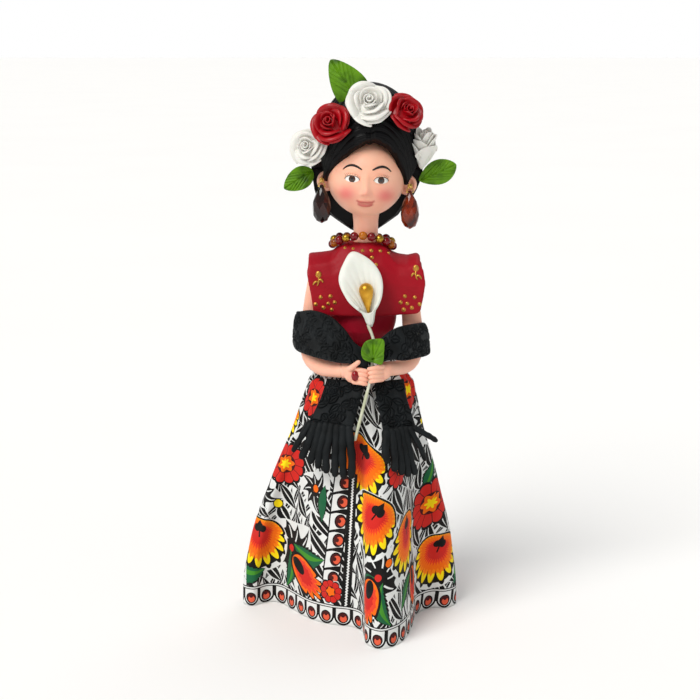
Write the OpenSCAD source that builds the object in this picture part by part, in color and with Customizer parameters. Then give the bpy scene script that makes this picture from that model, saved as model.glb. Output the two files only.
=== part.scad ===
// Standing doll in folk dress: rose crown, boxy blouse, shawl, printed skirt and a calla lily.
// Millimetres, +Z up, the doll faces -Y, origin on the floor under the middle of the base disc.
// "left" and "right" in the names are as seen from the front: left is -X.

/* [Skirt] */
// Thickness of the skirt sheet
skirt_wall = 1.8; // [1.2:0.1:2.2]
// How far the folds reach out at the hem, as a factor
hem_flare = 1; // [0.92:0.01:1.04]
// Height of the gathered top edge of the skirt
waist_z = 142.5; // [141.5:0.5:143]
// Radius of the base disc
base_r = 28; // [24:0.5:29]
// Thickness of the base disc
base_h = 4; // [3:0.5:5]

/* [Head] */
// Radius of the head
head_r = 19.8; // [19.4:0.1:20]
// Radius of the bead eyes
eye_r = 2.1; // [1.6:0.1:2.3]

/* [Crown] */
// Size of the roses, as a factor
rose_size = 1; // [0.9:0.01:1]
// Thickness of the leaves
leaf_t = 1.3; // [1:0.1:1.6]

/* [Jewellery] */
// Radius of a necklace bead
bead_r = 2; // [1.7:0.05:2]
// Radius of the bore through a bead
bead_bore = 0.9; // [0.6:0.05:1]
// Number of necklace beads, an even number
bead_count = 20; // [16:2:20]
// Widest radius of a glass ear drop
drop_r = 4.75; // [4:0.05:4.9]
// Length of a glass ear drop below its pin
drop_len = 18.8; // [16:0.1:19.5]
// Running clearance of each pin in its bore
pin_clear = 0.08; // [0.05:0.01:0.1]

/* [Shawl] */
// Thickness of the shawl sheet
shawl_t = 2.2; // [1.6:0.1:2.3]
// Width of a fringe strand
strand_w = 2.8; // [2.2:0.1:3]

/* [Hidden] */
$fn = 48;

skin = [0.93, 0.66, 0.53];
red = [0.50, 0.01, 0.05];
black = [0.03, 0.03, 0.035];
charcoal = [0.07, 0.08, 0.08];
white = [0.88, 0.88, 0.84];
green = [0.22, 0.50, 0.05];
gold = [0.72, 0.50, 0.14];

spine_x = 2;
dowel_r = 1.5;
head_c = [2.5, -3, 231];
hair_c = [4, 3, 246];
hair_r = [27, 25, 33];
neck_c = [2.4, -1, 0];
neck_r = 6.5;
shoulder_l = [-22, -1, 183.5];
shoulder_r = [23.5, -1, 183.5];
elbow_l = [-26, -8, 137.5];
elbow_r = [26.5, -9, 137];
post_l = [-20.2, -9.8, 230.2];
post_r = [24.7, -9.8, 227.2];
pin_r = 0.4;
pin_drop = 3.2;

// Hem outline on the floor, anticlockwise from the far left, chosen fold by fold
hem_points = [
    [-63, 6], [-63.5, -1], [-58, -4.5], [-51, 1], [-44, 0], [-36, -11], [-27, -23.5],
    [-16, -31.5], [-5, -35], [0.5, -42], [2.5, -58], [9.5, -65], [17.5, -60], [23, -49],
    [27, -32], [29.5, -17], [37, -8], [46, -7.5], [51.5, -1], [50, 9], [43, 17], [41, 27],
    [42, 38], [34, 46], [24, 43], [14, 42], [6, 50], [-6, 52], [-15, 45], [-25, 42],
    [-36, 45], [-44, 38], [-46, 28], [-52, 20], [-60, 14]
];
skirt_levels = [
    waist_z, 139, 135, 130, 124, 116, 106, 94, 82, 70, 58, 46, 34, 24, 14, 6, 0.2
];

// A point on a smooth curve through p1 and p2, with p0 and p3 as its neighbours
function smooth_point(p0, p1, p2, p3, t) =
    0.5 * (2 * p1 + (p2 - p0) * t + (2 * p0 - 5 * p1 + 4 * p2 - p3) * t * t
    + (3 * p1 - p0 - 3 * p2 + p3) * t * t * t);
// A closed smooth curve through the points p, with n steps between neighbours
function closed_curve(p, n) = [
    for (i = [0:len(p) - 1], j = [0:n - 1])
        smooth_point(p[(i + len(p) - 1) % len(p)], p[i], p[(i + 1) % len(p)],
            p[(i + 2) % len(p)], j / n)
];
// An open smooth curve through the points p, with n steps between neighbours
function open_curve(p, n) = concat([
    for (i = [0:len(p) - 2], j = [0:n - 1])
        smooth_point(p[max(i - 1, 0)], p[i], p[i + 1], p[min(i + 2, len(p) - 1)], j / n)
], [p[len(p) - 1]]);
function unit(v) = v / norm(v);
function flat_list(rows) = [for (r = rows, p = r) p];

// Solid between an outer grid of points and an inner one. Rows run downwards and columns run to
// the right as seen from outside. With ring = true the last column joins the first.
module grid_solid(outer, inner, ring = false) {
    m = len(outer);
    n = len(outer[0]);
    c = m * n;
    last = ring ? n - 1 : n - 2;
    skin_a = [for (i = [0:m - 2], j = [0:last], k = [0, 1]) let (
        a = i * n + j, b = i * n + (j + 1) % n, d = a + n, e = b + n)
        k == 0 ? [a, b, e] : [a, e, d]];
    skin_b = [for (f = skin_a) [f[2] + c, f[1] + c, f[0] + c]];
    top = [for (j = [0:last], k = [0, 1]) let (a = j, b = (j + 1) % n)
        k == 0 ? [b, a, a + c] : [b, a + c, b + c]];
    low = [for (j = [0:last], k = [0, 1]) let (a = (m - 1) * n + j, b = (m - 1) * n + (j + 1) % n)
        k == 0 ? [a, b, b + c] : [a, b + c, a + c]];
    left = [for (i = [0:m - 2], k = [0, 1]) let (a = i * n, b = a + n)
        k == 0 ? [a, b, b + c] : [a, b + c, a + c]];
    right = [for (i = [0:m - 2], k = [0, 1]) let (a = i * n + n - 1, b = a + n)
        k == 0 ? [b, a, a + c] : [b, a + c, b + c]];
    sides = ring ? [] : concat(left, right);
    polyhedron(points = concat(flat_list(outer), flat_list(inner)),
        faces = concat(skin_a, skin_b, top, low, sides), convexity = 8);
}

// Flat strip along a path: half_side reaches from its centre line to its right edge
module strip(path, half_side, back) {
    rows = [for (i = [0:len(path) - 1]) let (
        w = half_side * (i == len(path) - 1 ? 0.6 : 1)) [path[i] - w, path[i] + w]];
    grid_solid(rows, [for (r = rows) [for (p = r) p + back]]);
}

module ellipsoid(c, r) {
    translate(c) scale(r) sphere(1);
}

module head_solid(grow = 0) {
    translate(head_c) sphere(head_r + grow);
}

module hair_solid(grow = 0) {
    ellipsoid(hair_c, hair_r + [grow, grow, grow]);
}

// ---- base and core ----

module base_disc() {
    color([0.62, 0.47, 0.30]) cylinder(h = base_h, r = base_r, $fn = 96);
}

module card_cone() {
    color([0.66, 0.55, 0.40]) difference() {
        translate([0, 0, base_h]) cylinder(h = 134 - base_h, r1 = 26, r2 = 10);
        translate([0, 0, base_h - 1]) cylinder(h = 132.5 - base_h, r1 = 24.12, r2 = 7.9);
        translate([spine_x, 0, 100]) cylinder(h = 40, r = dowel_r);
    }
}

module spine_dowel() {
    color([0.80, 0.66, 0.45]) translate([spine_x, 0, 122]) cylinder(h = 98, r = dowel_r);
}

// ---- skirt ----

hem_curve = hem_flare * closed_curve(hem_points, 3);
hem_n = len(hem_curve);
// 0 at the hip, 1 at the hem
function drop_part(z) = z > 128 ? 0 : pow(sin(90 * (128 - z) / 128), 1.3);
function hip_r(z) = z < 124 ? 27 : 10.8 + 16.2 * pow((waist_z - z) / (waist_z - 124), 0.8);
function hip_squash(z) = z < 124 ? 1 : 1 - 0.14 * (z - 124) / (waist_z - 124);
function skirt_row(z) = let (g = drop_part(z)) [
    for (k = [0:hem_n - 1]) let (a = 174 + 360 * k / hem_n, r = hip_r(z))
        (1 - g) * r * [cos(a), hip_squash(z) * sin(a)] + g * hem_curve[k]
];
function inset_row(row, w) = [
    for (k = [0:len(row) - 1]) let (
        t = unit(row[(k + 1) % len(row)] - row[(k + len(row) - 1) % len(row)]))
        row[k] + w * [-t.y, t.x]
];
function lift(row, z) = [for (p = row) [p.x, p.y, z]];

module skirt() {
    color(white) grid_solid(
        [for (z = skirt_levels) lift(skirt_row(z), z)],
        [for (z = skirt_levels) lift(inset_row(skirt_row(z), skirt_wall), z)],
        ring = true);
}

// ---- torso and blouse ----

bodice_half = [
    [6.4, 134], [6.7, 140], [6.8, 143.4], [9.2, 147], [11.4, 151.5], [14, 156], [15.1, 162], [15.1, 170],
    [15, 178], [14.2, 184], [12, 189], [9.4, 192.5], [7, 194.5]
];
bodice_rows = [for (i = [len(bodice_half) - 1:-1:0]) bodice_half[i]];
function ring_at(c, rx, ry, z, n) = [
    for (k = [0:n - 1]) [c.x + rx * cos(360 * k / n), c.y + ry * sin(360 * k / n), z]
];

// Torso, wider than it is deep, with a hole for the dowel
module bodice() {
    color([0.42, 0.01, 0.04]) grid_solid(
        [for (p = bodice_rows) ring_at([spine_x, -0.3], p.x, 0.8 * p.x, p.y, 28)],
        [for (p = bodice_rows) ring_at([spine_x, 0], dowel_r + 0.1, dowel_r + 0.1, p.y, 28)],
        ring = true);
}

// Front view of the blouse, clockwise from its lower left corner
blouse_front = [
    [-24.5, 161.5], [-26.5, 176], [-28, 188], [-27, 191.6], [-20, 192.2], [-14.8, 193],
    [-10.4, 197], [-8, 197.8], [9, 197.8], [11.8, 196.6], [15.6, 192.8], [19, 191.4],
    [24, 190.6], [29, 191.8], [32, 188.5], [33, 181], [32, 171], [30.5, 163.4],
    [28.5, 162], [12, 160.8], [-4, 160.6], [-15, 161]
];
// Side view of the blouse: front edge, shoulders, back edge
blouse_side = [
    [-15.2, 150], [-15.2, 180], [-14.4, 187], [-12, 192.5], [-8.6, 196.4], [-5, 198.4],
    [5, 198.4], [8.4, 196], [11.6, 191.5], [13.8, 186], [14.5, 179], [14.5, 150]
];

module along_y(points, from, to) {
    translate([0, to, 0]) rotate([90, 0, 0]) linear_extrude(to - from) polygon(points);
}

module along_x(points, from, to) {
    translate([from, 0, 0]) rotate([90, 0, 90]) linear_extrude(to - from) polygon(points);
}

module blouse_solid() {
    intersection() {
        along_y(blouse_front, -30, 30);
        along_x(blouse_side, -50, 50);
    }
}

module huipil() {
    color(red) difference() {
        blouse_solid();
        intersection() {
            along_y(concat([[-60, 150], [-60, 189.4]],
                [for (i = [3:13]) [blouse_front[i].x, blouse_front[i].y - 2.1]],
                [[60, 189.4], [60, 150]]), -30, 30);
            along_x([for (p = blouse_side) [p.x * 0.86, p.y - 2.1]], -60, 60);
        }
        translate([neck_c.x, neck_c.y - 1, 180]) cylinder(h = 30, r = 9.5);
    }
}

// Raised dots: along the neckline, and in a cluster at each lower corner
neck_dots = [
    [-12.6, 195.2, -8.4], [-4.2, 196, -8.9], [0.6, 195.6, -9.3], [5.2, 195.6, -9.3],
    [9.8, 195, -9.8], [14.4, 193.6, -10.6], [5.4, 191.2, -12.6], [7.6, 187.6, -14.2]
];
corner_dots = [
    [-6.4, 0.2], [-3.8, 3.8], [-2.4, -1.6], [0, 0.6], [1.2, 4.4], [3.4, 1.2], [1.8, -2.6]
];

module gold_dots() {
    color(gold) {
        difference() {
            for (p = neck_dots) translate([p.x, p.z, p.y]) sphere(0.8, $fn = 24);
            blouse_solid();
        }
        difference() {
            for (p = corner_dots, s = [0, 1])
                translate([s == 0 ? p.x - 17 : 23.5 - p.x, -15.2, p.y + 167])
                    sphere(0.85, $fn = 24);
            translate([-40, -15.2, 150]) cube([80, 20, 40]);
        }
    }
}

// One painted scroll: two small arcs and a round bud standing on the blouse
module scroll() {
    rotate([90, 0, 0]) {
        translate([0, 1.2, 0]) rotate_extrude(angle = 240) translate([1.3, 0]) circle(0.5, $fn = 16);
        translate([0.6, -2, 0]) rotate([0, 0, 200])
            rotate_extrude(angle = 200) translate([1.6, 0]) circle(0.45, $fn = 16);
    }
    translate([-0.2, 0, 3.2]) sphere(0.8, $fn = 24);
}

module gold_scrolls() {
    color(gold) difference() {
        union() {
            translate([-22.2, -15.2, 180]) scroll();
            translate([28.2, -15.2, 183]) mirror([1, 0, 0]) scroll();
        }
        translate([-40, -15.2, 150]) cube([80, 20, 60]);
    }
}

// ---- head ----

module neck() {
    color(skin) difference() {
        translate([neck_c.x, neck_c.y, 194.5]) cylinder(h = 20, r = neck_r);
        head_solid(0.02);
        translate([spine_x, 0, 190]) cylinder(h = 30, r = dowel_r);
    }
}

module head() {
    color(skin) difference() {
        union() {
            head_solid();
            translate(head_c + [0, -head_r + 0.8, -5.6]) sphere(1.7);
        }
        translate([spine_x, 0, 200]) cylinder(h = 20.05, r = dowel_r);
        for (s = [-1, 1]) translate(head_c + [s * 7.3, -17.9, 0.4]) rotate([90, 0, 0]) sphere(eye_r);
    }
}

// Round dished ear, its rim facing forwards, pierced for its wire post
ear_profile = [
    [0, 0.4], [1.8, 0.6], [2.9, 1.8], [3.4, 2.4], [4, 2.6], [4.6, 2.1], [4.9, 1.2],
    [4.8, 0], [4.1, -1], [2.6, -1.5], [0, -1.6]
];

module ear(c, post) {
    color(skin) difference() {
        translate(c) rotate([90, 0, 0]) rotate_extrude() polygon(ear_profile);
        head_solid(0.05);
        translate([post.x, 10, post.z]) rotate([90, 0, 0]) cylinder(h = 20, r = pin_r);
    }
}

module ear_left() {
    ear([-17.8, -2, 229.2], post_l);
}

module ear_right() {
    ear([23.4, -2, 227.2], post_r);
}

module eye(s) {
    color([0.05, 0.03, 0.02]) translate(head_c + [s * 7.3, -17.9, 0.4]) sphere(eye_r - 0.01);
}

module eye_left() {
    eye(-1);
}

module eye_right() {
    eye(1);
}

module eyebrow(s) {
    brow = closed_curve([[2.6, 5.6], [5, 7], [8, 7.4], [11, 6], [8, 6.6], [5, 6.1]], 3);
    color(black) difference() {
        intersection() {
            head_solid(0.6);
            translate(head_c) along_y([for (p = brow) [s * p.x, p.y]], -40, -5);
        }
        head_solid(0.02);
    }
}

module eyebrow_left() {
    eyebrow(-1);
}

module eyebrow_right() {
    eyebrow(1);
}

// ---- hair ----

module hair_back() {
    color(black) difference() {
        hair_solid();
        head_solid(0.1);
        translate([-60, -66, 180]) cube([120, 60, 120]);
        translate([-60, -57, 178]) cube([120, 61, 60]);
        translate([-60, -60, 162]) cube([120, 120, 60]);
    }
}

module hair_nape() {
    color(black) difference() {
        translate([1.5, 9, 202]) scale([1, 0.55, 1]) cylinder(h = 20, r1 = 8.5, r2 = 19.5);
        head_solid(0.1);
        translate([neck_c.x, neck_c.y, 190]) cylinder(h = 40, r = neck_r + 0.1);
        translate([-60, -60, 195]) cube([120, 64, 60]);
    }
}

module hair_front() {
    difference() {
        hair_solid();
        head_solid(0.1);
        translate([2.5, 0, 229]) rotate([90, 0, 0]) scale([17.6, 21.5, 1]) cylinder(h = 60, r = 1);
        translate([-60, -6.02, 180]) cube([120, 80, 120]);
        translate([-60, -60, 174]) cube([120, 120, 61]);
    }
}

module hair_lock_left() {
    color(black) intersection() {
        hair_front();
        translate([-60, -60, 200]) cube([63.95, 80, 100]);
    }
}

module hair_lock_right() {
    color(black) intersection() {
        hair_front();
        translate([4.05, -60, 200]) cube([63.95, 80, 100]);
    }
}

// ---- roses and leaves ----

// Ridged rose head, opening along +Z, with its flat base at z = 0
rose_ridges = [
    [0, 0], [0.70, 0], [0.98, 0.16], [1, 0.32], [0.84, 0.50], [0.74, 0.44], [0.62, 0.62],
    [0.52, 0.56], [0.40, 0.70], [0.30, 0.64], [0.20, 0.75], [0, 0.78]
];

module rose(at, facing, r) {
    k = r * rose_size;
    translate(at) rotate([0, acos(facing.z / norm(facing)), atan2(facing.y, facing.x)])
        rotate_extrude() polygon([for (p = rose_ridges) k * p]);
}

module rose_centre() {
    color(white) rose([3.4, -16.6, 268.2], [0, -1, 0.45], 11.2);
}

module rose_left() {
    color(red) rose([-14.8, -17.2, 257.6], [-0.5, -1, 0.25], 9.8);
}

module rose_right() {
    color(red) rose([21.2, -14.6, 262], [0.65, -1, 0.4], 8.8);
}

module rose_far_left() {
    color(white) rose([-24, -7.5, 246.8], [-1, -0.75, 0.05], 8.8);
}

module rose_far_right() {
    color(white) rose([31.2, -5, 247.6], [1, -0.35, 0.1], 8.6);
}

// Leaf blade from base to tip: side points to its right edge, bow lifts its middle outwards
module leaf(base, tip, half_w, side, bow) {
    d = tip - base;
    n = unit(cross(d, side));
    rows = [for (i = [0:10]) let (
        t = i / 10,
        w = max(0.5, half_w * pow(sin(180 * pow(t, 0.8)), 0.8)),
        c = base + t * d + n * bow * sin(180 * t))
        [for (j = [-2:2]) c + side * w * j / 2 + n * (0.3 - 0.18 * abs(j)) * w / 4]];
    grid_solid(rows, [for (r = rows) [for (p = r) p - n * leaf_t]]);
}

module leaf_top() {
    color(green) leaf([-2.5, -9.2, 275.5], [-16, -6.4, 289.6], 6.6, unit([-1, 0.1, -1.0]), 1.2);
}

module leaf_left() {
    color(green) leaf([-26, -2.6, 236.5], [-39.5, -5.4, 226.2], 5.2, unit([0.6, 0, -0.85]), 0.8);
}

module leaf_right() {
    color(green) leaf([31.6, -1.6, 230.5], [48, -3.2, 239], 5, unit([0.45, 0, -0.9]), 0.8);
}

// ---- ear drops ----

// Wire post in the ear with an end ball and a collar that keep the bail on it
module ear_post(p) {
    color(gold) {
        translate([p.x, 0, p.z]) rotate([90, 0, 0]) cylinder(h = 11.9, r = pin_r);
        translate([p.x, -11.9, p.z]) sphere(0.75);
        translate([p.x, -7.9, p.z]) rotate([90, 0, 0]) cylinder(h = 0.7, r = 0.8);
    }
}

module ear_post_left() {
    ear_post(post_l);
}

module ear_post_right() {
    ear_post(post_r);
}

// Wire bail: an eye round the post, a yoke, and the cross pin that the glass hangs on
module ear_bail(p) {
    color(gold) translate(p) {
        difference() {
            union() {
                translate([0, 0.45, 0]) rotate([90, 0, 0]) cylinder(h = 0.9, r = 1.25);
                translate([-2.4, -0.45, -1.85]) cube([4.8, 0.9, 0.8]);
            }
            translate([0, 1, 0]) rotate([90, 0, 0]) cylinder(h = 2, r = pin_r + pin_clear);
        }
        for (s = [-1, 1]) translate([s * 2 - 0.4, -0.45, -pin_drop]) cube([0.8, 0.9, pin_drop - 1.1]);
        translate([-2.4, 0, -pin_drop]) rotate([0, 90, 0]) cylinder(h = 4.8, r = pin_r);
    }
}

module ear_bail_left() {
    ear_bail(post_l);
}

module ear_bail_right() {
    ear_bail(post_r);
}

// Faceted glass drop, drilled across its narrow top
function drop_outline() = let (r = drop_r, h = drop_len) [
    [0, 1], [0.7, 1], [1.1, 0.2], [1.2, -1.2], [0.46 * r, -0.16 * h], [0.84 * r, -0.38 * h],
    [r, -0.6 * h], [0.88 * r, -0.8 * h], [0.5 * r, -0.94 * h], [0, -h]
];

module ear_drop(p) {
    color([0.22, 0.06, 0.02]) translate([p.x, p.y, p.z - pin_drop]) difference() {
        rotate_extrude($fn = 10) polygon(drop_outline());
        translate([-3, 0, 0]) rotate([0, 90, 0]) cylinder(h = 6, r = pin_r + pin_clear);
    }
}

module ear_drop_left() {
    ear_drop(post_l);
}

module ear_drop_right() {
    ear_drop(post_r);
}

// ---- necklace ----

// The string lies over the collar in front and behind, and dips over the shoulders
function string_at(a) = let (f = max(0, cos(a)), s = sin(a)) [
    0.8 + 15.6 * s,
    0.4 - 11.6 * cos(a),
    196.2 + 5.8 * pow(f, 1.5) - max(0, s) + 6 * abs(s) * max(0, -cos(a))
];
string_points = [for (a = [0:3:360]) string_at(a)];
string_steps = [for (i = [0:len(string_points) - 1])
    i == 0 ? 0 : norm(string_points[i] - string_points[i - 1])];
function sum_to(v, i) = i < 0 ? 0 : v[i] + sum_to(v, i - 1);
string_table = [for (i = [0:len(string_points) - 1]) [sum_to(string_steps, i), 3 * i]];
string_len = string_table[len(string_table) - 1][0];

module beads(first) {
    for (i = [first:2:bead_count - 1]) {
        a = lookup(string_len * i / bead_count, string_table);
        t = unit(string_at(a + 2) - string_at(a - 2));
        translate(string_at(a)) rotate([0, acos(t.z), atan2(t.y, t.x)]) rotate_extrude()
            difference() {
                circle(bead_r);
                translate([-5, -5]) square([5 + bead_bore, 10]);
            }
    }
}

module beads_burgundy() {
    color([0.28, 0.01, 0.04]) beads(1);
}

module beads_amber() {
    color([0.72, 0.36, 0.06]) beads(0);
}

module necklace_thread() {
    rings = [for (a = [0:6:354]) let (
        t = unit(string_at(a + 2) - string_at(a - 2)),
        u = unit(cross(t, [0, 0, 1])),
        v = cross(t, u))
        [for (k = [0:5]) string_at(a) + 0.28 * (cos(60 * k) * u + sin(60 * k) * v)]];
    m = len(rings);
    color([0.25, 0.05, 0.05]) polyhedron(points = flat_list(rings), convexity = 6,
        faces = [for (i = [0:m - 1], j = [0:5], k = [0, 1]) let (
            a = i * 6 + j, b = i * 6 + (j + 1) % 6,
            c = ((i + 1) % m) * 6 + (j + 1) % 6, d = ((i + 1) % m) * 6 + j)
            k == 0 ? [a, c, b] : [a, d, c]]);
}

// ---- arms and hands ----

stem_path = [
    [3.4, -27.4, 158.5], [6.2, -31, 151], [5.8, -34.6, 143], [4.6, -36.4, 136],
    [3.3, -37, 128], [-0.4, -37.6, 113], [-3.2, -37, 101.5]
];

// Round wire along the stem's path, with rows of points from its top to its foot
module stem_wire(r, more = 0) {
    c = open_curve(stem_path, 3);
    n = len(c);
    rows = [for (i = [0:n - 1]) let (
        t = unit(c[min(i + 1, n - 1)] - c[max(i - 1, 0)]),
        u = unit(cross(t, [0, 1, 0])),
        v = cross(t, u),
        p = i == 0 ? c[0] - t * more : i == n - 1 ? c[i] + t * more : c[i])
        [for (k = [0:9]) p + r * (cos(36 * k) * u - sin(36 * k) * v)]];
    polyhedron(points = flat_list(rows), convexity = 6, faces = concat(
        [for (i = [0:n - 2], j = [0:9], k = [0, 1]) let (
            a = i * 10 + j, b = i * 10 + (j + 1) % 10)
            k == 0 ? [a, b, b + 10] : [a, b + 10, a + 10]],
        [[for (j = [9:-1:0]) j], [for (j = [0:9]) (n - 1) * 10 + j]]));
}

// Round limb from a to b
module limb(a, b, ra, rb, n) {
    hull() {
        translate(a) sphere(ra, $fn = n);
        translate(b) sphere(rb, $fn = n);
    }
}

module palm(c, r) {
    translate(c) scale(r) sphere(1, $fn = 24);
}

module arm_left() {
    color(skin) difference() {
        union() {
            limb(shoulder_l, elbow_l, 4.6, 5.2, 24);
            limb(elbow_l, [-16.5, -20.5, 135], 5.2, 4.5, 24);
            limb([-16.5, -20.5, 135], [-7.5, -31, 136], 4.5, 3.7, 24);
            palm([-3.6, -34, 135.4], [5.2, 3.1, 4]);
            for (i = [0:3]) {
                limb([-2.2, -35.4, 138.4 - 1.9 * i], [0.4, -37.6, 138 - 1.9 * i], 1.25, 1.2, 12);
                limb([0.4, -37.6, 138 - 1.9 * i], [2.4 - 0.3 * i, -37.6, 137.2 - 1.9 * i], 1.2, 1, 12);
            }
            limb([-5.4, -35.2, 138], [-3.6, -37.6, 139.6], 1.6, 1.4, 12);
            limb([-3.6, -37.6, 139.6], [-1.6, -38.8, 141], 1.4, 1.1, 12);
        }
        stem_wire(0.9, 1);
    }
}

module arm_right() {
    color(skin) difference() {
        union() {
            limb(shoulder_r, elbow_r, 4.6, 5.2, 24);
            limb(elbow_r, [19.5, -20.5, 136], 5.2, 4.4, 24);
            limb([19.5, -20.5, 136], [14, -30.5, 136.6], 4.4, 3.6, 24);
            palm([10.6, -33.4, 136.2], [4.6, 3, 4]);
            for (i = [0:3]) {
                limb([9.6, -35.2, 139.4 - 1.9 * i], [7, -38.2, 139.2 - 1.9 * i], 1.25, 1.2, 12);
                limb([7, -38.2, 139.2 - 1.9 * i], [4.7 + 0.2 * i, -38.8, 138.8 - 1.9 * i], 1.2, 1, 12);
            }
        }
        stem_wire(0.9, 1);
    }
}

module ring_stone() {
    color([0.35, 0.0, 0.03]) translate([-4, -37.2, 135.2]) rotate([90, 0, 0])
        rotate_extrude() polygon([[0, 0], [1.9, 0], [2.1, 0.5], [1.8, 1.1], [1.1, 1.6], [0, 1.8]]);
}

// ---- shawl ----

// Stations from the back round to the front: x, y, lower z, upper z
wrap_left_path = [
    [-28, 15, 143.5, 160.2], [-33.5, 7.5, 143, 160.8], [-35, -2, 142.4, 161.2],
    [-32.8, -11, 141.6, 161.6], [-28, -19, 140.8, 161], [-21.8, -26, 140.8, 156.5],
    [-15.6, -32.2, 140.6, 152.4], [-9, -35.8, 141, 147.6], [-4.2, -36.8, 141.4, 144.2]
];
wrap_right_path = [
    [9, -35.2, 142.4, 148], [14.8, -34.4, 141.6, 151], [21.4, -31.6, 138.4, 153],
    [28.4, -22.4, 138, 154.6], [33.2, -13.4, 138.4, 155.4], [35.4, -4, 139.8, 155.6],
    [34.2, 6, 141.4, 157.4], [28, 15, 143.5, 160.2]
];
back_path = [[28, 15, 143.5, 160.2], [15, 17.2, 143, 160.4], [0, 18, 142.6, 160.4],
    [-15, 17.2, 143, 160.4], [-28, 15, 143.5, 160.2]];

// Band of sheet standing round a path, bulging outwards and a little narrower at the top
module band(path) {
    n = len(path);
    out = [for (i = [0:n - 1]) let (
        p = path[max(i - 1, 0)], q = path[min(i + 1, n - 1)],
        t = (i == 0 || i == n - 1) ? unit([sign(q.x - p.x) * 0.001, 0]) : unit([q.x - p.x, q.y - p.y]))
        (i == 0 && abs(path[0].y - 15) < 0.01) || (i == n - 1 && abs(path[n - 1].y - 15) < 0.01)
            ? unit([path[i].x * 0.55, path[i].y]) : [t.y, -t.x]];
    rows = [for (k = [0:4]) let (f = k / 4) [
        for (i = [0:n - 1]) let (
            z = path[i][3] + (path[i][2] - path[i][3]) * f,
            b = 1.2 * sin(180 * f) - 1.2 * (1 - f))
            [path[i].x + out[i].x * b, path[i].y + out[i].y * b, z]]];
    grid_solid(rows, [for (k = [0:4]) [for (i = [0:n - 1])
        rows[k][i] - shawl_t * [out[i].x, out[i].y, 0]]]);
}

module shawl_wrap_left() {
    color(charcoal) band(wrap_left_path);
}

module shawl_wrap_right() {
    color(charcoal) band(wrap_right_path);
}

module shawl_back() {
    color(charcoal) band(back_path);
}

// Hanging sheet: each row runs from its left corner to its right corner, with a slight wave
module hanging(rows_lr) {
    rows = [for (r = rows_lr) [for (j = [0:6]) let (t = j / 6)
        r[0] + (r[1] - r[0]) * t + [0, -0.7 * sin(540 * t), 0]]];
    back = unit(cross(rows_lr[0][1] - rows_lr[0][0], rows_lr[3][0] - rows_lr[0][0]));
    grid_solid(rows, [for (r = rows) [for (p = r) p + 0.85 * shawl_t * back]]);
}

end_left_rows = [
    [[-17.5, -23.6, 130.4], [2.4, -31, 129.6]], [[-20.4, -26, 121.6], [-0.4, -33.2, 121.6]],
    [[-24, -28.4, 114], [-2.6, -35.4, 113.6]], [[-28, -30.6, 107], [-5, -37.4, 106]]
];
end_right_rows = [
    [[6.6, -31, 129.6], [21.6, -24.4, 130.4]], [[7.6, -34, 121.6], [23, -26.6, 121.6]],
    [[9.6, -36.6, 113], [25.6, -28.4, 113]], [[11.2, -39, 104.4], [28.4, -30, 104.4]]
];

module shawl_end_left() {
    color(charcoal) hanging(end_left_rows);
}

module shawl_end_right() {
    color(charcoal) hanging(end_right_rows);
}

// Strands from the lower edge, each to its own tip: x, y, z
fringe_left_tips = [
    [-34.4, -33, 95.4], [-30, -34.4, 92.6], [-25.6, -35.6, 90.4], [-21.2, -36.8, 88.4],
    [-16.8, -38, 86.8], [-12.2, -39, 85.2], [-7.6, -40, 84.6], [-3.6, -40.8, 85]
];
fringe_right_tips = [
    [13, -42.4, 91], [16.8, -41, 86.4], [20.4, -39.2, 84], [23.8, -37.2, 82.6],
    [27.2, -34.8, 82.8], [32.4, -30, 89], [38, -26.4, 98]
];

module fringe(edge, tips) {
    n = len(tips);
    for (i = [0:n - 1]) {
        a = edge[0] + (edge[1] - edge[0]) * (i + 0.5) / n;
        b = tips[i];
        side = unit([(edge[1] - edge[0]).x, (edge[1] - edge[0]).y, 0]);
        start = a + [0, -0.4, -0.3];
        strip([start, start + (b - start) * 0.5 + [0, -0.5, 1], b], side * strand_w * 0.42, [0, 1.5, 0]);
    }
}

module fringe_left() {
    color(charcoal) fringe(end_left_rows[3], fringe_left_tips);
}

module fringe_right() {
    color(charcoal) fringe(end_right_rows[3], fringe_right_tips);
}

// ---- calla lily ----

// Lip of the flower, anticlockwise from its left edge, and the ring at the foot of its tube
calla_lip = closed_curve([
    [-11, -25, 181], [-7.6, -27.6, 173], [-1.2, -29.2, 167.4], [3.8, -29.6, 165.6],
    [7.6, -28.6, 169.4], [10, -26.4, 176], [9.4, -24.6, 183.4], [4.4, -22.4, 190.4],
    [-4.2, -21, 194.6], [-8.8, -22.6, 189]
], 3);
calla_foot = [2.6, -27, 157.8];
calla_n = len(calla_lip);
function calla_row(t) = [
    for (k = [0:calla_n - 1]) let (
        a = 174 + 360 * k / calla_n,
        foot = calla_foot + [2 * cos(a), 2 * sin(a), 0],
        lip = calla_lip[k],
        g = pow(t, 1.7))
        [foot.x + (lip.x - foot.x) * g, foot.y + (lip.y - foot.y) * g,
            foot.z + (lip.z - foot.z) * t]
];
function calla_in(row, w) = let (
    c = [for (i = [0:2]) sum_to([for (p = row) p[i]], len(row) - 1) / len(row)])
    [for (p = row) let (d = [c.x - p.x, min(c.y, p.y - 0.01) - p.y - 0.3, 0])
        p + w * unit([d.x, -abs(d.y) * 0 + (c.y - p.y), 0])];

module calla_spathe() {
    steps = [1, 0.9, 0.78, 0.66, 0.54, 0.42, 0.3, 0.2, 0.1, 0];
    color(white) grid_solid([for (t = steps) calla_row(t)],
        [for (t = steps) calla_in(calla_row(t), 0.9)], ring = true);
}

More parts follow.
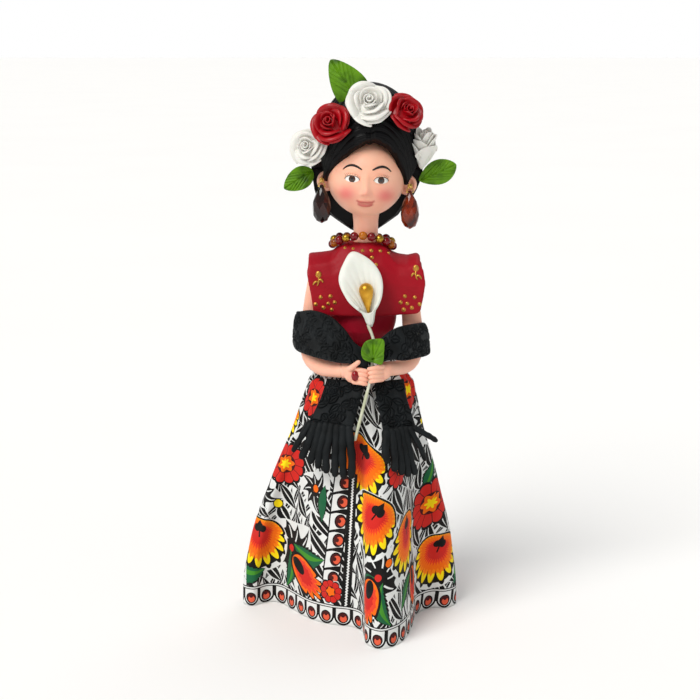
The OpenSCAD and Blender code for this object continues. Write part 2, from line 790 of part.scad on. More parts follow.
module calla_spadix() {
    profile = open_curve([[0.8, 0], [1.5, 4.2], [2.3, 9], [2.5, 13], [1.7, 16], [0.1, 17]], 3);
    color(gold) translate([3.4, -26.8, 161.8]) rotate([-3, -6, 0]) rotate_extrude()
        polygon(concat([[0, 0]], profile, [[0, 17]]));
}

module calla_stem() {
    color([0.45, 0.55, 0.32]) stem_wire(0.8);
}

module calla_leaf() {
    outline = closed_curve([[0, -6.4], [4.6, -4.8], [6.2, 0], [4.4, 4.6], [0.6, 6.2],
        [-4, 4.8], [-6, 0.4], [-4.8, -4.2]], 4);
    color(green) translate([5.8, -38.2, 147.6]) rotate([90, 0, 0]) linear_extrude(leaf_t)
        polygon(outline);
}

base_disc();
card_cone();
spine_dowel();
skirt();
bodice();
huipil();
gold_dots();
gold_scrolls();
neck();
head();
ear_left();
ear_right();
eye_left();
eye_right();
eyebrow_left();
eyebrow_right();
hair_back();
hair_nape();
hair_lock_left();
hair_lock_right();
rose_centre();
rose_left();
rose_right();
rose_far_left();
rose_far_right();
leaf_top();
leaf_left();
leaf_right();
ear_post_left();
ear_post_right();
ear_bail_left();
ear_bail_right();
ear_drop_left();
ear_drop_right();
beads_burgundy();
beads_amber();
necklace_thread();
arm_left();
arm_right();
ring_stone();
shawl_wrap_left();
shawl_wrap_right();
shawl_back();
shawl_end_left();
shawl_end_right();
fringe_left();
fringe_right();
calla_spathe();
calla_spadix();
calla_stem();
calla_leaf();
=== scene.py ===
"""Looks of a hand-modelled clay doll in folk dress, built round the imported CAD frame."""
import math
import random

import bmesh
import bpy
import numpy as np
from mathutils import Matrix, Vector


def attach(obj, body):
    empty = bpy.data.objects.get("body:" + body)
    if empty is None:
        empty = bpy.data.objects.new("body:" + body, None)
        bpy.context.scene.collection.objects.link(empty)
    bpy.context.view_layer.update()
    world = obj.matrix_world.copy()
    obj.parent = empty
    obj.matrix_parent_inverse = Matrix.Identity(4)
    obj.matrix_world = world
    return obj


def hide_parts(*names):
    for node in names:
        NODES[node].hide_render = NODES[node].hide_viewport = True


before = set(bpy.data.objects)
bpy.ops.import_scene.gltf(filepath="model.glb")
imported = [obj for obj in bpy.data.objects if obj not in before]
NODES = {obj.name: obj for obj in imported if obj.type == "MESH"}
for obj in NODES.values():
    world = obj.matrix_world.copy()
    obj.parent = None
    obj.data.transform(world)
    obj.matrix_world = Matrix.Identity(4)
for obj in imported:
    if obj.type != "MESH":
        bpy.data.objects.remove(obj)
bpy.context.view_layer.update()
MM = 0.001
random.seed(7)


# ---------------------------------------------------------------- small maths

def arr(*v):
    return np.array(v, float)


def unit(v):
    v = np.asarray(v, float)
    return v / max(np.linalg.norm(v), 1e-9)


def units(v):
    """Vectors of a list or grid, each scaled to length 1."""
    return v / np.maximum(np.linalg.norm(v, axis=-1, keepdims=True), 1e-9)


def full_turn(n):
    """n even angles round a circle."""
    return np.linspace(0, 2 * math.pi, n, endpoint=False)


def distances(p):
    """Distance along a polyline at each of its points."""
    return np.r_[0, np.cumsum(np.linalg.norm(np.diff(p, axis=0), axis=1))]


def step(a, b, x):
    """Smooth step from 0 at a to 1 at b."""
    t = np.clip((np.asarray(x, float) - a) / (b - a), 0, 1)
    return t * t * (3 - 2 * t)


def bump(x, z, cx, cz, sx, sz):
    """Soft round hill at cx and cz, sx wide and sz high."""
    return np.exp(-((x - cx) / sx) ** 2 - ((z - cz) / sz) ** 2)


def spline(points, n, closed=False):
    """Smooth curve through points: n values per span."""
    p = np.asarray(points, float)
    m = len(p)
    out = []
    spans = m if closed else m - 1
    for i in range(spans):
        if closed:
            a, b, c, d = p[i - 1], p[i], p[(i + 1) % m], p[(i + 2) % m]
        else:
            a, b, c, d = p[max(i - 1, 0)], p[i], p[i + 1], p[min(i + 2, m - 1)]
        for j in range(n):
            t = j / n
            out.append(0.5 * (2 * b + (c - a) * t + (2 * a - 5 * b + 4 * c - d) * t * t
                              + (3 * b - a - 3 * c + d) * t ** 3))
    if not closed:
        out.append(p[-1])
    return np.array(out)


def along(points, count):
    """count points at even distances on a polyline."""
    p = np.asarray(points, float)
    d = distances(p)
    s = np.linspace(0, d[-1], count)
    return np.stack([np.interp(s, d, p[:, i]) for i in range(p.shape[1])], 1)


# ---------------------------------------------------------------- mesh parts

class Parts:
    """Vertices in mm and faces of one piece, with a material index and a UV for each."""

    def __init__(self):
        self.v, self.f, self.m, self.uv, self.n = [], [], [], [], 0

    def add(self, verts, faces, mat=0, uv=None):
        verts = np.asarray(verts, float).reshape(-1, 3)
        self.v.append(verts)
        self.f += [tuple(int(i) + self.n for i in f) for f in faces]
        self.m += [mat] * len(faces)
        self.uv.append(np.zeros((len(verts), 2)) if uv is None else uv.reshape(-1, 2))
        self.n += len(verts)
        return self


def quads(m, n, wrap=False):
    """Faces of an m by n grid of points."""
    out = []
    for i in range(m - 1):
        for j in range(n if wrap else n - 1):
            a, b = i * n + j, i * n + (j + 1) % n
            out.append((a, a + n, b + n, b))
    return out


def add_capped(parts, grid, mat=0):
    """Closed skin of ring rows with a flat cap on each end."""
    m, n = grid.shape[:2]
    caps = [tuple(range(n)), tuple(range(m * n - 1, (m - 1) * n - 1, -1))]
    parts.add(grid, quads(m, n, True) + caps, mat)


def add_shell(parts, outer, inner, wrap=False, uv=None, mat_in=0):
    """Closed solid between two grids of points. mat_in is the material of its inner side and rim."""
    m, n = outer.shape[:2]
    c = m * n
    front = quads(m, n, wrap)
    rest = [tuple(reversed([i + c for i in f])) for f in front]
    for j in range(n if wrap else n - 1):
        k = (j + 1) % n
        rest.append((j, k, k + c, j + c))
        a, b = (m - 1) * n + j, (m - 1) * n + k
        rest.append((b, a, a + c, b + c))
    if not wrap:
        for i in range(m - 1):
            a, b = i * n, (i + 1) * n
            rest.append((b, a, a + c, b + c))
            a, b = i * n + n - 1, (i + 1) * n + n - 1
            rest.append((a, b, b + c, a + c))
    both = None if uv is None else np.concatenate([uv.reshape(-1, 2)] * 2)
    parts.add(np.concatenate([outer.reshape(-1, 3), inner.reshape(-1, 3)]), front + rest, 0, both)
    parts.m[-len(rest):] = [mat_in] * len(rest)


def frames(path):
    """A normal and a side vector at each point of a path, turning as little as possible."""
    p = np.asarray(path, float)
    t = units(np.gradient(p, axis=0))
    up = arr(0, 0, 1) if abs(t[0][2]) < 0.9 else arr(0, 1, 0)
    u = unit(np.cross(t[0], up))
    us, vs = [], []
    for k in range(len(p)):
        u = unit(u - t[k] * np.dot(u, t[k]))
        us.append(u)
        vs.append(np.cross(t[k], u))
    return t, np.array(us), np.array(vs)


def add_tube(parts, path, radius, sides=12, flat=1.0, closed=False):
    """Round or flattened tube along a path, with rounded ends or closed into a loop. radius is one
    number or one per point."""
    p = np.asarray(path, float)
    r = np.broadcast_to(np.asarray(radius, float), (len(p),))
    t, u, v = frames(p)
    rows = list(zip(p, r, u, v))
    if not closed:
        lead, tail = [], []
        for k in (0.15, 0.5, 0.8):
            c = math.sqrt(1 - k * k)
            lead.append((p[0] - t[0] * r[0] * flat * c, r[0] * k, u[0], v[0]))
            tail.append((p[-1] + t[-1] * r[-1] * flat * c, r[-1] * k, u[-1], v[-1]))
        rows = lead + rows + tail[::-1]
    a = full_turn(sides)
    grid = np.array([c + (np.cos(a) * q)[:, None] * side + (np.sin(a) * q * flat)[:, None] * up
                     for c, q, side, up in rows])
    if not closed:
        add_capped(parts, grid)
        return
    last = (len(grid) - 1) * sides
    join = [(last + j, j, (j + 1) % sides, last + (j + 1) % sides) for j in range(sides)]
    parts.add(grid, quads(len(grid), sides, True) + join)


def add_ball(parts, centre, r, n=16, squash=(1, 1, 1)):
    rows = np.linspace(0.12, math.pi - 0.12, n)[:, None]
    a = full_turn(2 * n)
    grid = np.stack([np.sin(rows) * np.cos(a), np.sin(rows) * np.sin(a), np.cos(rows) * np.ones_like(a)], -1)
    add_capped(parts, grid * r * np.asarray(squash, float) + np.asarray(centre, float))


def add_revolve(parts, profile, at, axis, n=48, mat=0, wave=None):
    """Profile of (radius, height) pairs turned about an axis. wave(angle, row) scales the radius."""
    z = unit(axis)
    x = unit(np.cross(z, arr(0, 0, 1) if abs(z[2]) < 0.9 else arr(1, 0, 0)))
    y = np.cross(z, x)
    a = full_turn(n)
    rows = []
    for i, (r, h) in enumerate(profile):
        q = max(r, 1e-3) * (wave(a, i) if wave else np.ones(n))
        rows.append(np.asarray(at) + z * h + (np.cos(a) * q)[:, None] * x + (np.sin(a) * q)[:, None] * y)
    add_capped(parts, np.array(rows), mat)


def shade(me, smooth=True):
    me.polygons.foreach_set("use_smooth", [smooth] * len(me.polygons))
    me.update()


def weld(me, gap=1e-7, face_out=True):
    """Join points that meet, and turn the faces outwards."""
    bm = bmesh.new()
    bm.from_mesh(me)
    bmesh.ops.remove_doubles(bm, verts=bm.verts, dist=gap)
    if face_out:
        bmesh.ops.recalc_face_normals(bm, faces=bm.faces)
    bm.to_mesh(me)
    bm.free()


def new_object(name, data):
    o = bpy.data.objects.new(name, data)
    bpy.context.scene.collection.objects.link(o)
    return o


def dress(o, body, replaces, sub=0):
    """Put a piece on its CAD body, in the place of its CAD nodes."""
    if sub:
        s = o.modifiers.new("Soft", "SUBSURF")
        s.levels = s.render_levels = sub
    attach(o, body)
    if replaces:
        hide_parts(*replaces)
    return o


def make(name, parts, mats, body="doll", replaces=(), smooth=True, sub=0, welded=True):
    """One object from parts, riding on its CAD body and standing for its CAD nodes."""
    me = bpy.data.meshes.new(name)
    me.from_pydata((np.concatenate(parts.v) * MM).tolist(), [], parts.f)
    uv = np.concatenate(parts.uv)
    if np.abs(uv).max() > 0:
        layer = me.uv_layers.new(name="Print")
        loops = np.zeros(len(me.loops), int)
        me.loops.foreach_get("vertex_index", loops)
        layer.data.foreach_set("uv", uv[loops].ravel())
    for m in (mats if isinstance(mats, list) else [mats]):
        me.materials.append(m)
    me.polygons.foreach_set("material_index", parts.m)
    if welded:
        weld(me)
    shade(me, smooth)
    return dress(new_object(name, me), body, replaces, sub)


def fused(name, parts, voxel, rounds, mat, node, source=None, edit=None):
    """One soft skin round overlapping parts, and round a source mesh if there is one, as if they were
    pressed together in clay. It stands for one CAD node."""
    if source is None:
        me = bpy.data.meshes.new(name + "_raw")
        me.from_pydata((np.concatenate(parts.v) * MM).tolist(), [], parts.f)
        weld(me)
        shade(me)
    else:
        me = source.copy()
        bm = bmesh.new()
        bm.from_mesh(me)
        base = [bm.verts.new(v * MM) for v in np.concatenate(parts.v)]
        for f in parts.f:
            bm.faces.new([base[i] for i in f])
        bmesh.ops.recalc_face_normals(bm, faces=bm.faces)
        bm.to_mesh(me)
        bm.free()
    raw = new_object(name + "_raw", me)
    skin = raw.modifiers.new("Skin", "REMESH")
    skin.mode = "VOXEL"
    skin.voxel_size = voxel * MM
    soft = raw.modifiers.new("Soft", "SMOOTH")
    soft.factor = 0.5
    soft.iterations = rounds
    bpy.context.view_layer.update()
    deps = bpy.context.evaluated_depsgraph_get()
    out = bpy.data.meshes.new_from_object(raw.evaluated_get(deps))
    bpy.data.objects.remove(raw)
    bpy.data.meshes.remove(me)
    out.name = name
    if edit:
        co = np.zeros(len(out.vertices) * 3)
        out.vertices.foreach_get("co", co)
        out.vertices.foreach_set("co", (edit(co.reshape(-1, 3) / MM) * MM).ravel())
    out.materials.clear()
    out.materials.append(mat)
    out.polygons.foreach_set("material_index", [0] * len(out.polygons))
    shade(out)
    return dress(new_object(name, out), "doll", (node,))


# ---------------------------------------------------------------- node helpers

def rgb(r, g, b):
    """Display colour, 0 to 255, as a linear colour."""
    shares = [c / 255 for c in (r, g, b)]
    return (*(c / 12.92 if c <= 0.04045 else ((c + 0.055) / 1.055) ** 2.4 for c in shares), 1)


class Net:
    """Shader nodes made from plain expressions."""

    def __init__(self, name):
        self.mat = bpy.data.materials.new(name)
        self.mat.use_nodes = True
        self.tree = self.mat.node_tree
        self.shader = self.tree.nodes["Principled BSDF"]

    def put(self, socket, value):
        if isinstance(value, Num):
            value = value.socket
        if isinstance(value, bpy.types.NodeSocket):
            self.tree.links.new(value, socket)
        else:
            socket.default_value = value

    def node(self, kind, **settings):
        n = self.tree.nodes.new(kind)
        for k, v in settings.items():
            setattr(n, k, v)
        return n

    def op(self, name, *args):
        n = self.node("ShaderNodeMath", operation=name)
        for i, a in enumerate(args):
            self.put(n.inputs[i], a)
        return Num(self, n.outputs[0])

    def mix(self, fac, a, b):
        n = self.node("ShaderNodeMix", data_type="RGBA")
        self.put(n.inputs[0], fac)
        self.put(n.inputs[6], a)
        self.put(n.inputs[7], b)
        return n.outputs[2]

    def ramp(self, fac, stops, smooth=True):
        n = self.node("ShaderNodeValToRGB")
        n.color_ramp.interpolation = "EASE" if smooth else "CONSTANT"
        e = n.color_ramp.elements
        while len(e) < len(stops):
            e.new(0.5)
        for k, (p, c) in enumerate(stops):
            e[k].position = p
            e[k].color = c
        self.put(n.inputs[0], fac)
        return n.outputs[0]

    def map(self, value, a, b, lo, hi):
        n = self.node("ShaderNodeMapRange")
        n.interpolation_type = "SMOOTHSTEP"
        self.put(n.inputs[0], value)
        for i, x in enumerate((a, b, lo, hi)):
            n.inputs[i + 1].default_value = x
        return Num(self, n.outputs[0])

    def split(self, socket, kind="ShaderNodeSeparateXYZ"):
        """The three numbers of a vector or a colour."""
        n = self.node(kind)
        self.put(n.inputs[0], socket)
        return [Num(self, out) for out in n.outputs]

    def print_uv(self):
        return self.node("ShaderNodeUVMap", uv_map="Print").outputs[0]

    def length(self, x, y):
        return self.op("SQRT", x * x + y * y)

    def texture(self, kind, scale, vector=None):
        n = self.node(kind)
        n.inputs["Scale"].default_value = scale
        self.put(n.inputs["Vector"], vector or self.node("ShaderNodeTexCoord").outputs["Object"])
        return n

    def noise(self, scale, detail=3, rough=0.5, vector=None):
        n = self.texture("ShaderNodeTexNoise", scale, vector)
        n.inputs["Detail"].default_value = detail
        n.inputs["Roughness"].default_value = rough
        return Num(self, n.outputs[0])

    def bump(self, height, strength=0.3, distance=0.0003):
        n = self.node("ShaderNodeBump")
        n.inputs["Strength"].default_value = strength
        n.inputs["Distance"].default_value = distance
        self.put(n.inputs["Height"], height)
        self.put(self.shader.inputs["Normal"], n.outputs[0])

    def set(self, **values):
        names = dict(colour="Base Color", rough="Roughness", metal="Metallic", coat="Coat Weight",
                     coat_rough="Coat Roughness", glass="Transmission Weight", ior="IOR",
                     sheen="Sheen Weight", sheen_rough="Sheen Roughness", skin="Subsurface Weight",
                     skin_scale="Subsurface Scale", specular="Specular IOR Level")
        for k, v in values.items():
            self.put(self.shader.inputs[names[k]], v)
        return self


class Num:
    """A number inside a node tree."""

    def __init__(self, net, socket):
        self.net, self.socket = net, socket

    def __add__(self, o):
        return self.net.op("ADD", self, o)

    __radd__ = __add__

    def __sub__(self, o):
        return self.net.op("SUBTRACT", self, o)

    def __rsub__(self, o):
        return self.net.op("SUBTRACT", o, self)

    def __mul__(self, o):
        return self.net.op("MULTIPLY", self, o)

    __rmul__ = __mul__

    def __truediv__(self, o):
        return self.net.op("DIVIDE", self, o)

    def __lt__(self, o):
        return self.net.op("LESS_THAN", self, o)

    def __gt__(self, o):
        return self.net.op("GREATER_THAN", self, o)

    def __pow__(self, o):
        return self.net.op("POWER", self, o)

    def abs(self):
        return self.net.op("ABSOLUTE", self)

    def sin(self):
        return self.net.op("SINE", self)

    def mod(self, o):
        return self.net.op("FLOORED_MODULO", self, o)

    def max(self, o):
        return self.net.op("MAXIMUM", self, o)

    def min(self, o):
        return self.net.op("MINIMUM", self, o)


# ---------------------------------------------------------------- materials

def clay(name, colour, deep, rough=0.5, coat=0.0, marks=0.35, skin=0.0, dents=1.0, coat_rough=0.3,
         specular=0.35):
    """Air-dried clay: soft hand dents, a little tone change, fine pores."""
    net = Net(name)
    tone = net.noise(90, 4, 0.55)
    fine = net.noise(900, 3, 0.6)
    net.set(colour=net.mix(net.map(tone, 0.3, 0.75, 0, 1) * marks, colour, deep),
            rough=net.map(fine, 0.3, 0.7, rough - 0.05, rough + 0.08),
            coat=coat, coat_rough=coat_rough, skin=skin, skin_scale=0.0012, specular=specular)
    net.bump(net.noise(160, 2, 0.5) * (0.7 * dents) + fine * 0.12, 0.35, 0.0004)
    return net.mat


def metal(name, colour, rough=0.3, hammered=0.3):
    net = Net(name)
    tone = net.noise(700, 3)
    shadow = tuple(0.55 * c for c in colour[:3]) + (1,)
    net.set(colour=net.mix(net.map(tone, 0.35, 0.7, 0, 0.5), colour, shadow),
            metal=0.9, rough=net.map(tone, 0.3, 0.7, rough, rough + 0.15))
    net.bump(net.noise(1100, 3), hammered, 0.0002)
    return net.mat


def glass(name, colour, deep, clear=0.75, rough=0.06):
    net = Net(name)
    tone = net.noise(140, 2)
    net.set(colour=net.mix(net.map(tone, 0.35, 0.65, 0, 1), colour, deep),
            glass=clear, rough=rough, ior=1.46, coat=0.08, coat_rough=0.04)
    net.bump(net.noise(500, 2), 0.08, 0.0002)
    return net.mat


M_SKIN = clay("clay_skin", rgb(247, 188, 162), rgb(238, 168, 142), 0.46, 0.05, 0.5, skin=0.12)
M_BLOUSE = clay("clay_blouse", rgb(160, 2, 26), rgb(138, 0, 18), 0.5, 0.0, 0.5, specular=0.22)
M_BODICE = clay("clay_bodice", rgb(164, 8, 38), rgb(140, 2, 26), 0.48, 0.0, 0.5, specular=0.22)
M_RED = clay("clay_red", rgb(170, 2, 18), rgb(132, 0, 10), 0.36, 0.12, 0.6, specular=0.3)
M_WHITE = clay("clay_white", rgb(232, 231, 225), rgb(212, 210, 202), 0.42, 0.12, 0.5, skin=0.04)
M_CALLA = clay("clay_calla", rgb(229, 231, 223), rgb(212, 215, 203), 0.38, 0.12, 0.4, skin=0.04, dents=0.5)
M_HAIR = clay("clay_hair", rgb(5, 5, 7), rgb(1, 1, 2), 0.36, 0.03, 0.5, dents=0.6, specular=0.13)
M_BROW = clay("clay_brow", rgb(26, 20, 19), rgb(12, 9, 9), 0.5, 0.0, 0.5)
M_STEM = clay("clay_stem", rgb(186, 190, 160), rgb(228, 229, 212), 0.45, 0.05, 0.9)
M_GOLD = metal("gold_paint", rgb(206, 154, 70), 0.34)
M_WIRE = metal("wire", rgb(212, 176, 96), 0.22, 0.1)
M_BOARD = clay("base_board", rgb(168, 132, 92), rgb(132, 98, 64), 0.8, 0, 0.9)
M_CARD = clay("core_card", rgb(186, 164, 128), rgb(160, 136, 100), 0.85, 0, 0.8)
M_DOWEL = clay("dowel_wood", rgb(214, 182, 132), rgb(184, 146, 96), 0.7, 0, 0.9)


def rebozo():
    """Matte charcoal clay sheet with a fine cloth grain pressed into it."""
    net = Net("clay_charcoal")
    tone = net.noise(120, 4)
    grain = net.noise(1500, 2, 0.7)
    net.set(colour=net.mix(net.map(tone, 0.3, 0.7, 0, 1), rgb(23, 27, 29), rgb(10, 13, 14)),
            rough=net.map(grain, 0.3, 0.7, 0.55, 0.7), specular=0.16)
    net.bump(grain * 0.5 + tone * 0.4, 0.4, 0.0003)
    return net.mat


def leaf_clay():
    net = Net("clay_green")
    tone = net.noise(130, 3)
    net.set(colour=net.ramp(tone, [(0.3, rgb(46, 84, 0)), (0.55, rgb(90, 140, 0)), (0.8, rgb(130, 176, 8))]),
            rough=net.map(net.noise(600), 0.3, 0.7, 0.38, 0.52), coat=0.05, coat_rough=0.35, specular=0.25)
    net.bump(net.noise(420, 3), 0.25, 0.0003)
    return net.mat


def face_skin():
    """Skin with painted blush and lips, placed by a mesh attribute."""
    net = Net("clay_face")
    tint = net.node("ShaderNodeAttribute", attribute_name="Tint").outputs["Color"]
    blush, lips, _ = net.split(tint, "ShaderNodeSeparateColor")
    tone = net.noise(110, 4, 0.55)
    base = net.mix(net.map(tone, 0.3, 0.7, 0, 0.5), rgb(249, 190, 162), rgb(241, 172, 144))
    base = net.mix(blush, base, rgb(228, 112, 108))
    base = net.mix(lips, base, rgb(186, 64, 66))
    fine = net.noise(900, 3, 0.6)
    net.set(colour=base, rough=net.map(fine, 0.3, 0.7, 0.38, 0.5), skin=0.15, skin_scale=0.0012, coat=0.05,
            coat_rough=0.4, specular=0.35)
    net.bump(fine * 0.1 + net.noise(160, 2) * 0.4, 0.25, 0.0003)
    return net.mat


def spadix_gold():
    net = Net("gold_spadix")
    cells = Num(net, net.texture("ShaderNodeTexVoronoi", 1500).outputs[0])
    tone = net.noise(160, 3)
    net.set(colour=net.mix(net.map(tone, 0.3, 0.7, 0, 1), rgb(236, 184, 66), rgb(190, 134, 30)), metal=0.75,
            rough=0.32)
    net.bump(cells, 0.2, 0.0002)
    return net.mat


def eye_paint():
    net = Net("eye_paint")
    x, y, _ = net.split(net.print_uv())
    r = net.length(x, y)
    a = net.op("ARCTAN2", y, x)
    streak = (a * 23).sin() * 0.06 + r
    iris = net.ramp(streak, [(0.0, rgb(96, 52, 24)), (0.13, rgb(70, 34, 16)), (0.17, rgb(30, 14, 8))])
    col = net.mix(r < 0.17, rgb(240, 238, 232), iris)
    col = net.mix(r < 0.085, col, rgb(6, 5, 5))
    net.set(colour=col, rough=0.12, coat=0.6, coat_rough=0.05)
    return net.mat


M_SHAWL = rebozo()
M_GREEN = leaf_clay()
M_FACE = face_skin()
M_SPADIX = spadix_gold()
M_EYE = eye_paint()
M_DROP = glass("glass_brown", rgb(52, 14, 8), rgb(22, 6, 4), 0.5)
# the right drop is the same brown glass as the left; its brighter amber colour is a painted glow of light
# shining through it
M_DROP_PAINTED_GLOW = glass("glass_drop_painted_glow", rgb(150, 46, 2), rgb(34, 8, 2), 0.6)
M_BURGUNDY = glass("glass_burgundy", rgb(140, 2, 18), rgb(92, 0, 10), 0.2)
M_AMBER = glass("glass_amber", rgb(206, 120, 16), rgb(150, 70, 6), 0.3)
M_OLIVE = metal("bead_gold", rgb(186, 150, 50), 0.2, 0.1)
M_RING = glass("ring_enamel", rgb(176, 0, 24), rgb(130, 0, 12), 0.0)
M_THREAD = clay("thread", rgb(96, 30, 26), rgb(70, 20, 18), 0.8)


# ---------------------------------------------------------------- printed cotton

WHITE, BLACK = rgb(226, 228, 226), rgb(14, 13, 13)
RED, ORANGE, YELLOW = rgb(206, 38, 30), rgb(244, 108, 8), rgb(252, 222, 8)
SALMON, MAROON, GREEN, PINE = rgb(226, 92, 62), rgb(70, 18, 18), rgb(66, 142, 40), rgb(26, 96, 60)


def printed_cotton():
    """White cotton printed with fans, daisies, leaf sprays and scalloped borders. UV is in units of 100 mm:
    along the sheet from its front ribbon, and up from the hem."""
    net = Net("skirt_sheet")
    uv = net.print_uv()
    across, up, _ = net.split(uv)
    s0, t = across * 100, up * 100
    s = (s0 + 75).mod(190) - 75

    def local(cx, cy, turn, size, wide=1.0):
        """Coordinates about a motif, with y along its axis. turn is clockwise from straight down."""
        a = math.radians(turn)
        dx, dy = s - cx, t - cy
        y = (dx * (-math.sin(a) / size)) + (dy * (-math.cos(a) / size))
        x = (dx * (-math.cos(a) / size / wide)) + (dy * (math.sin(a) / size / wide))
        return x, y

    def polar(x, y):
        return net.length(x, y), net.op("ARCTAN2", x, y)

    def spade(col, x, y):
        """Black spade centred on the axis, its point towards -y."""
        a = net.length(x.abs() - 0.085, y + 0.02) < 0.105
        b = (x.abs() * 1.5 + (y + 0.1).abs()) < 0.16
        c = (x.abs() < 0.022) * ((y - 0.1).abs() < 0.14)
        return net.mix(a.max(b).max(c), col, BLACK)

    def fan(col, cx, cy, turn, size, wide=1.0, petals=19):
        """Peacock fan: red to yellow round a spade, with pointed petals on its far side."""
        x, y = local(cx, cy, turn, size, wide)
        r, a = polar(x, y)
        c = y / r.max(0.001)
        base = c * 0.34 + 0.72
        k = ((a * (petals / (2 * math.pi)) + 0.5).mod(1) - 0.5).abs() * 2
        front = net.map(c, -0.2, 0.3, 0, 1)
        notch = 1 - k * k * 0.34 * front
        q = r / (base * notch)
        rr = r / base
        flame = rr * (front * 0.24 + 0.76) + (a * petals).sin().abs() * 0.1
        fill = net.ramp(flame, [(0, RED), (0.42, rgb(232, 66, 26)), (0.52, ORANGE), (0.7, rgb(250, 132, 8)),
                                (0.82, YELLOW)], False)
        col = net.mix(rr < 1.14, col, WHITE)
        col = net.mix((rr < 1.0) + (q < 1.1), col, BLACK)
        col = net.mix(q < 0.98, col, fill)
        return spade(col, x, y + 0.1)

    def daisy(col, cx, cy, size, petals=12, turn=0, mid=YELLOW):
        x, y = local(cx, cy, turn, size)
        r, a = polar(x, y)
        saw = (a * (petals / 2)).sin().abs()
        q = r / (saw ** 0.45 * 0.2 + 0.8)
        col = net.mix(q < 1.1, col, BLACK)
        col = net.mix((q < 0.98) * (saw * r > 0.07), col, RED)
        col = net.mix(r < 0.47, col, MAROON)
        core = r - (a * (petals / 2 + 0.5)).sin() * 0.06
        col = net.mix(core < 0.38, col, ORANGE)
        return net.mix(core < 0.2, col, mid)

    def leaf(col, cx, cy, turn, size, width, bend, dark=PINE, light=GREEN):
        """Bent saw-edged leaf from its foot at the centre."""
        x, y = local(cx, cy, turn, size)
        x = x - y * (1 - y) * bend
        w = (y.max(0).min(1) * math.pi).sin() * width
        tooth = ((y * 9).mod(1)) * 0.16 + 0.9
        e = x.abs() / (w * tooth + 0.001)
        inside = (y > 0.0) * (y < 1.0)
        col = net.mix((e < 1.28) * inside, col, BLACK)
        col = net.mix((e < 0.98) * inside, col, dark)
        col = net.mix((x.abs() / (w + 0.001) < 0.55) * (x < 0) * inside, col, light)
        return col

    def spray(col, cx, cy, turn, size, count, dot=RED, fat=0.125):
        """Black leaf strokes round one point, with a coloured dot."""
        x, y = local(cx, cy, turn, size)
        r, a = polar(x, y)
        a = a + r * 0.7
        k = (a * (count / 2)).sin().abs() * r * (2.0 / count)
        reach = 1 - (a * 1.5).sin().abs() * 0.35
        w = ((r / reach).min(1) * math.pi).sin() * fat
        col = net.mix(r < reach * 1.04, col, WHITE)
        col = net.mix((k < w) * (r < reach), col, BLACK)
        col = net.mix((k < w * 0.22 - 0.004) * (r < reach * 0.8) * (r > 0.25), col, WHITE)
        col = net.mix(r < 0.13, col, BLACK)
        return net.mix(r < 0.09, col, dot)

    def bird(col, cx, cy, turn, size, wide=0.5):
        """Long red bud with a flame-cut tail and a dark blot."""
        x, y = local(cx, cy, turn, size, wide)
        r, a = polar(x, y - 0.42)
        c = (y - 0.42) / r.max(0.001)
        front = net.map(c, 0.2, 0.8, 0, 1)
        saw = (a * 7).sin().abs()
        q = r / ((1 - (1 - saw) * 0.35 * front) * (0.5 + 0.1 * c))
        col = net.mix(q < 1.14, col, BLACK)
        fill = net.ramp(q + saw * 0.1, [(0, RED), (0.6, rgb(230, 66, 38)), (0.86, ORANGE)], False)
        col = net.mix(q < 0.98, col, fill)
        blot = net.length(x, y - 0.24) < 0.2
        return net.mix(blot, col, BLACK)

    def dot(col, cx, cy, r, colour):
        x, y = local(cx, cy, 0, r)
        q = net.length(x, y)
        col = net.mix(q < 1.25, col, BLACK)
        return net.mix(q < 1.0, col, colour)

    # ground of black leaf strokes on white, in two directions, bent by slow noise
    bend = net.noise(2.2, 1, vector=uv) * 34
    p, q = s + bend, t - bend * 0.6
    col = WHITE
    for ang, length, width, fat in ((64, 18.0, 5.2, 0.37), (-52, 22.0, 8.8, 0.33)):
        a = math.radians(ang)
        v = (p * (-math.sin(a) / width)) + (q * (math.cos(a) / width))
        row = v + 0.5
        half = row.mod(1) - 0.5
        u = (p * (math.cos(a) / length)) + (q * (math.sin(a) / length)) + (row - row.mod(1)) * 0.37
        bow = (u.mod(1) * math.pi).sin()
        edge = (half + (bow - 0.6) * 0.22).abs()
        col = net.mix(edge < bow * fat * 1.3, col, WHITE)
        col = net.mix(edge < bow * fat, col, BLACK)
        col = net.mix(edge < bow * 0.05 - 0.01, col, WHITE)

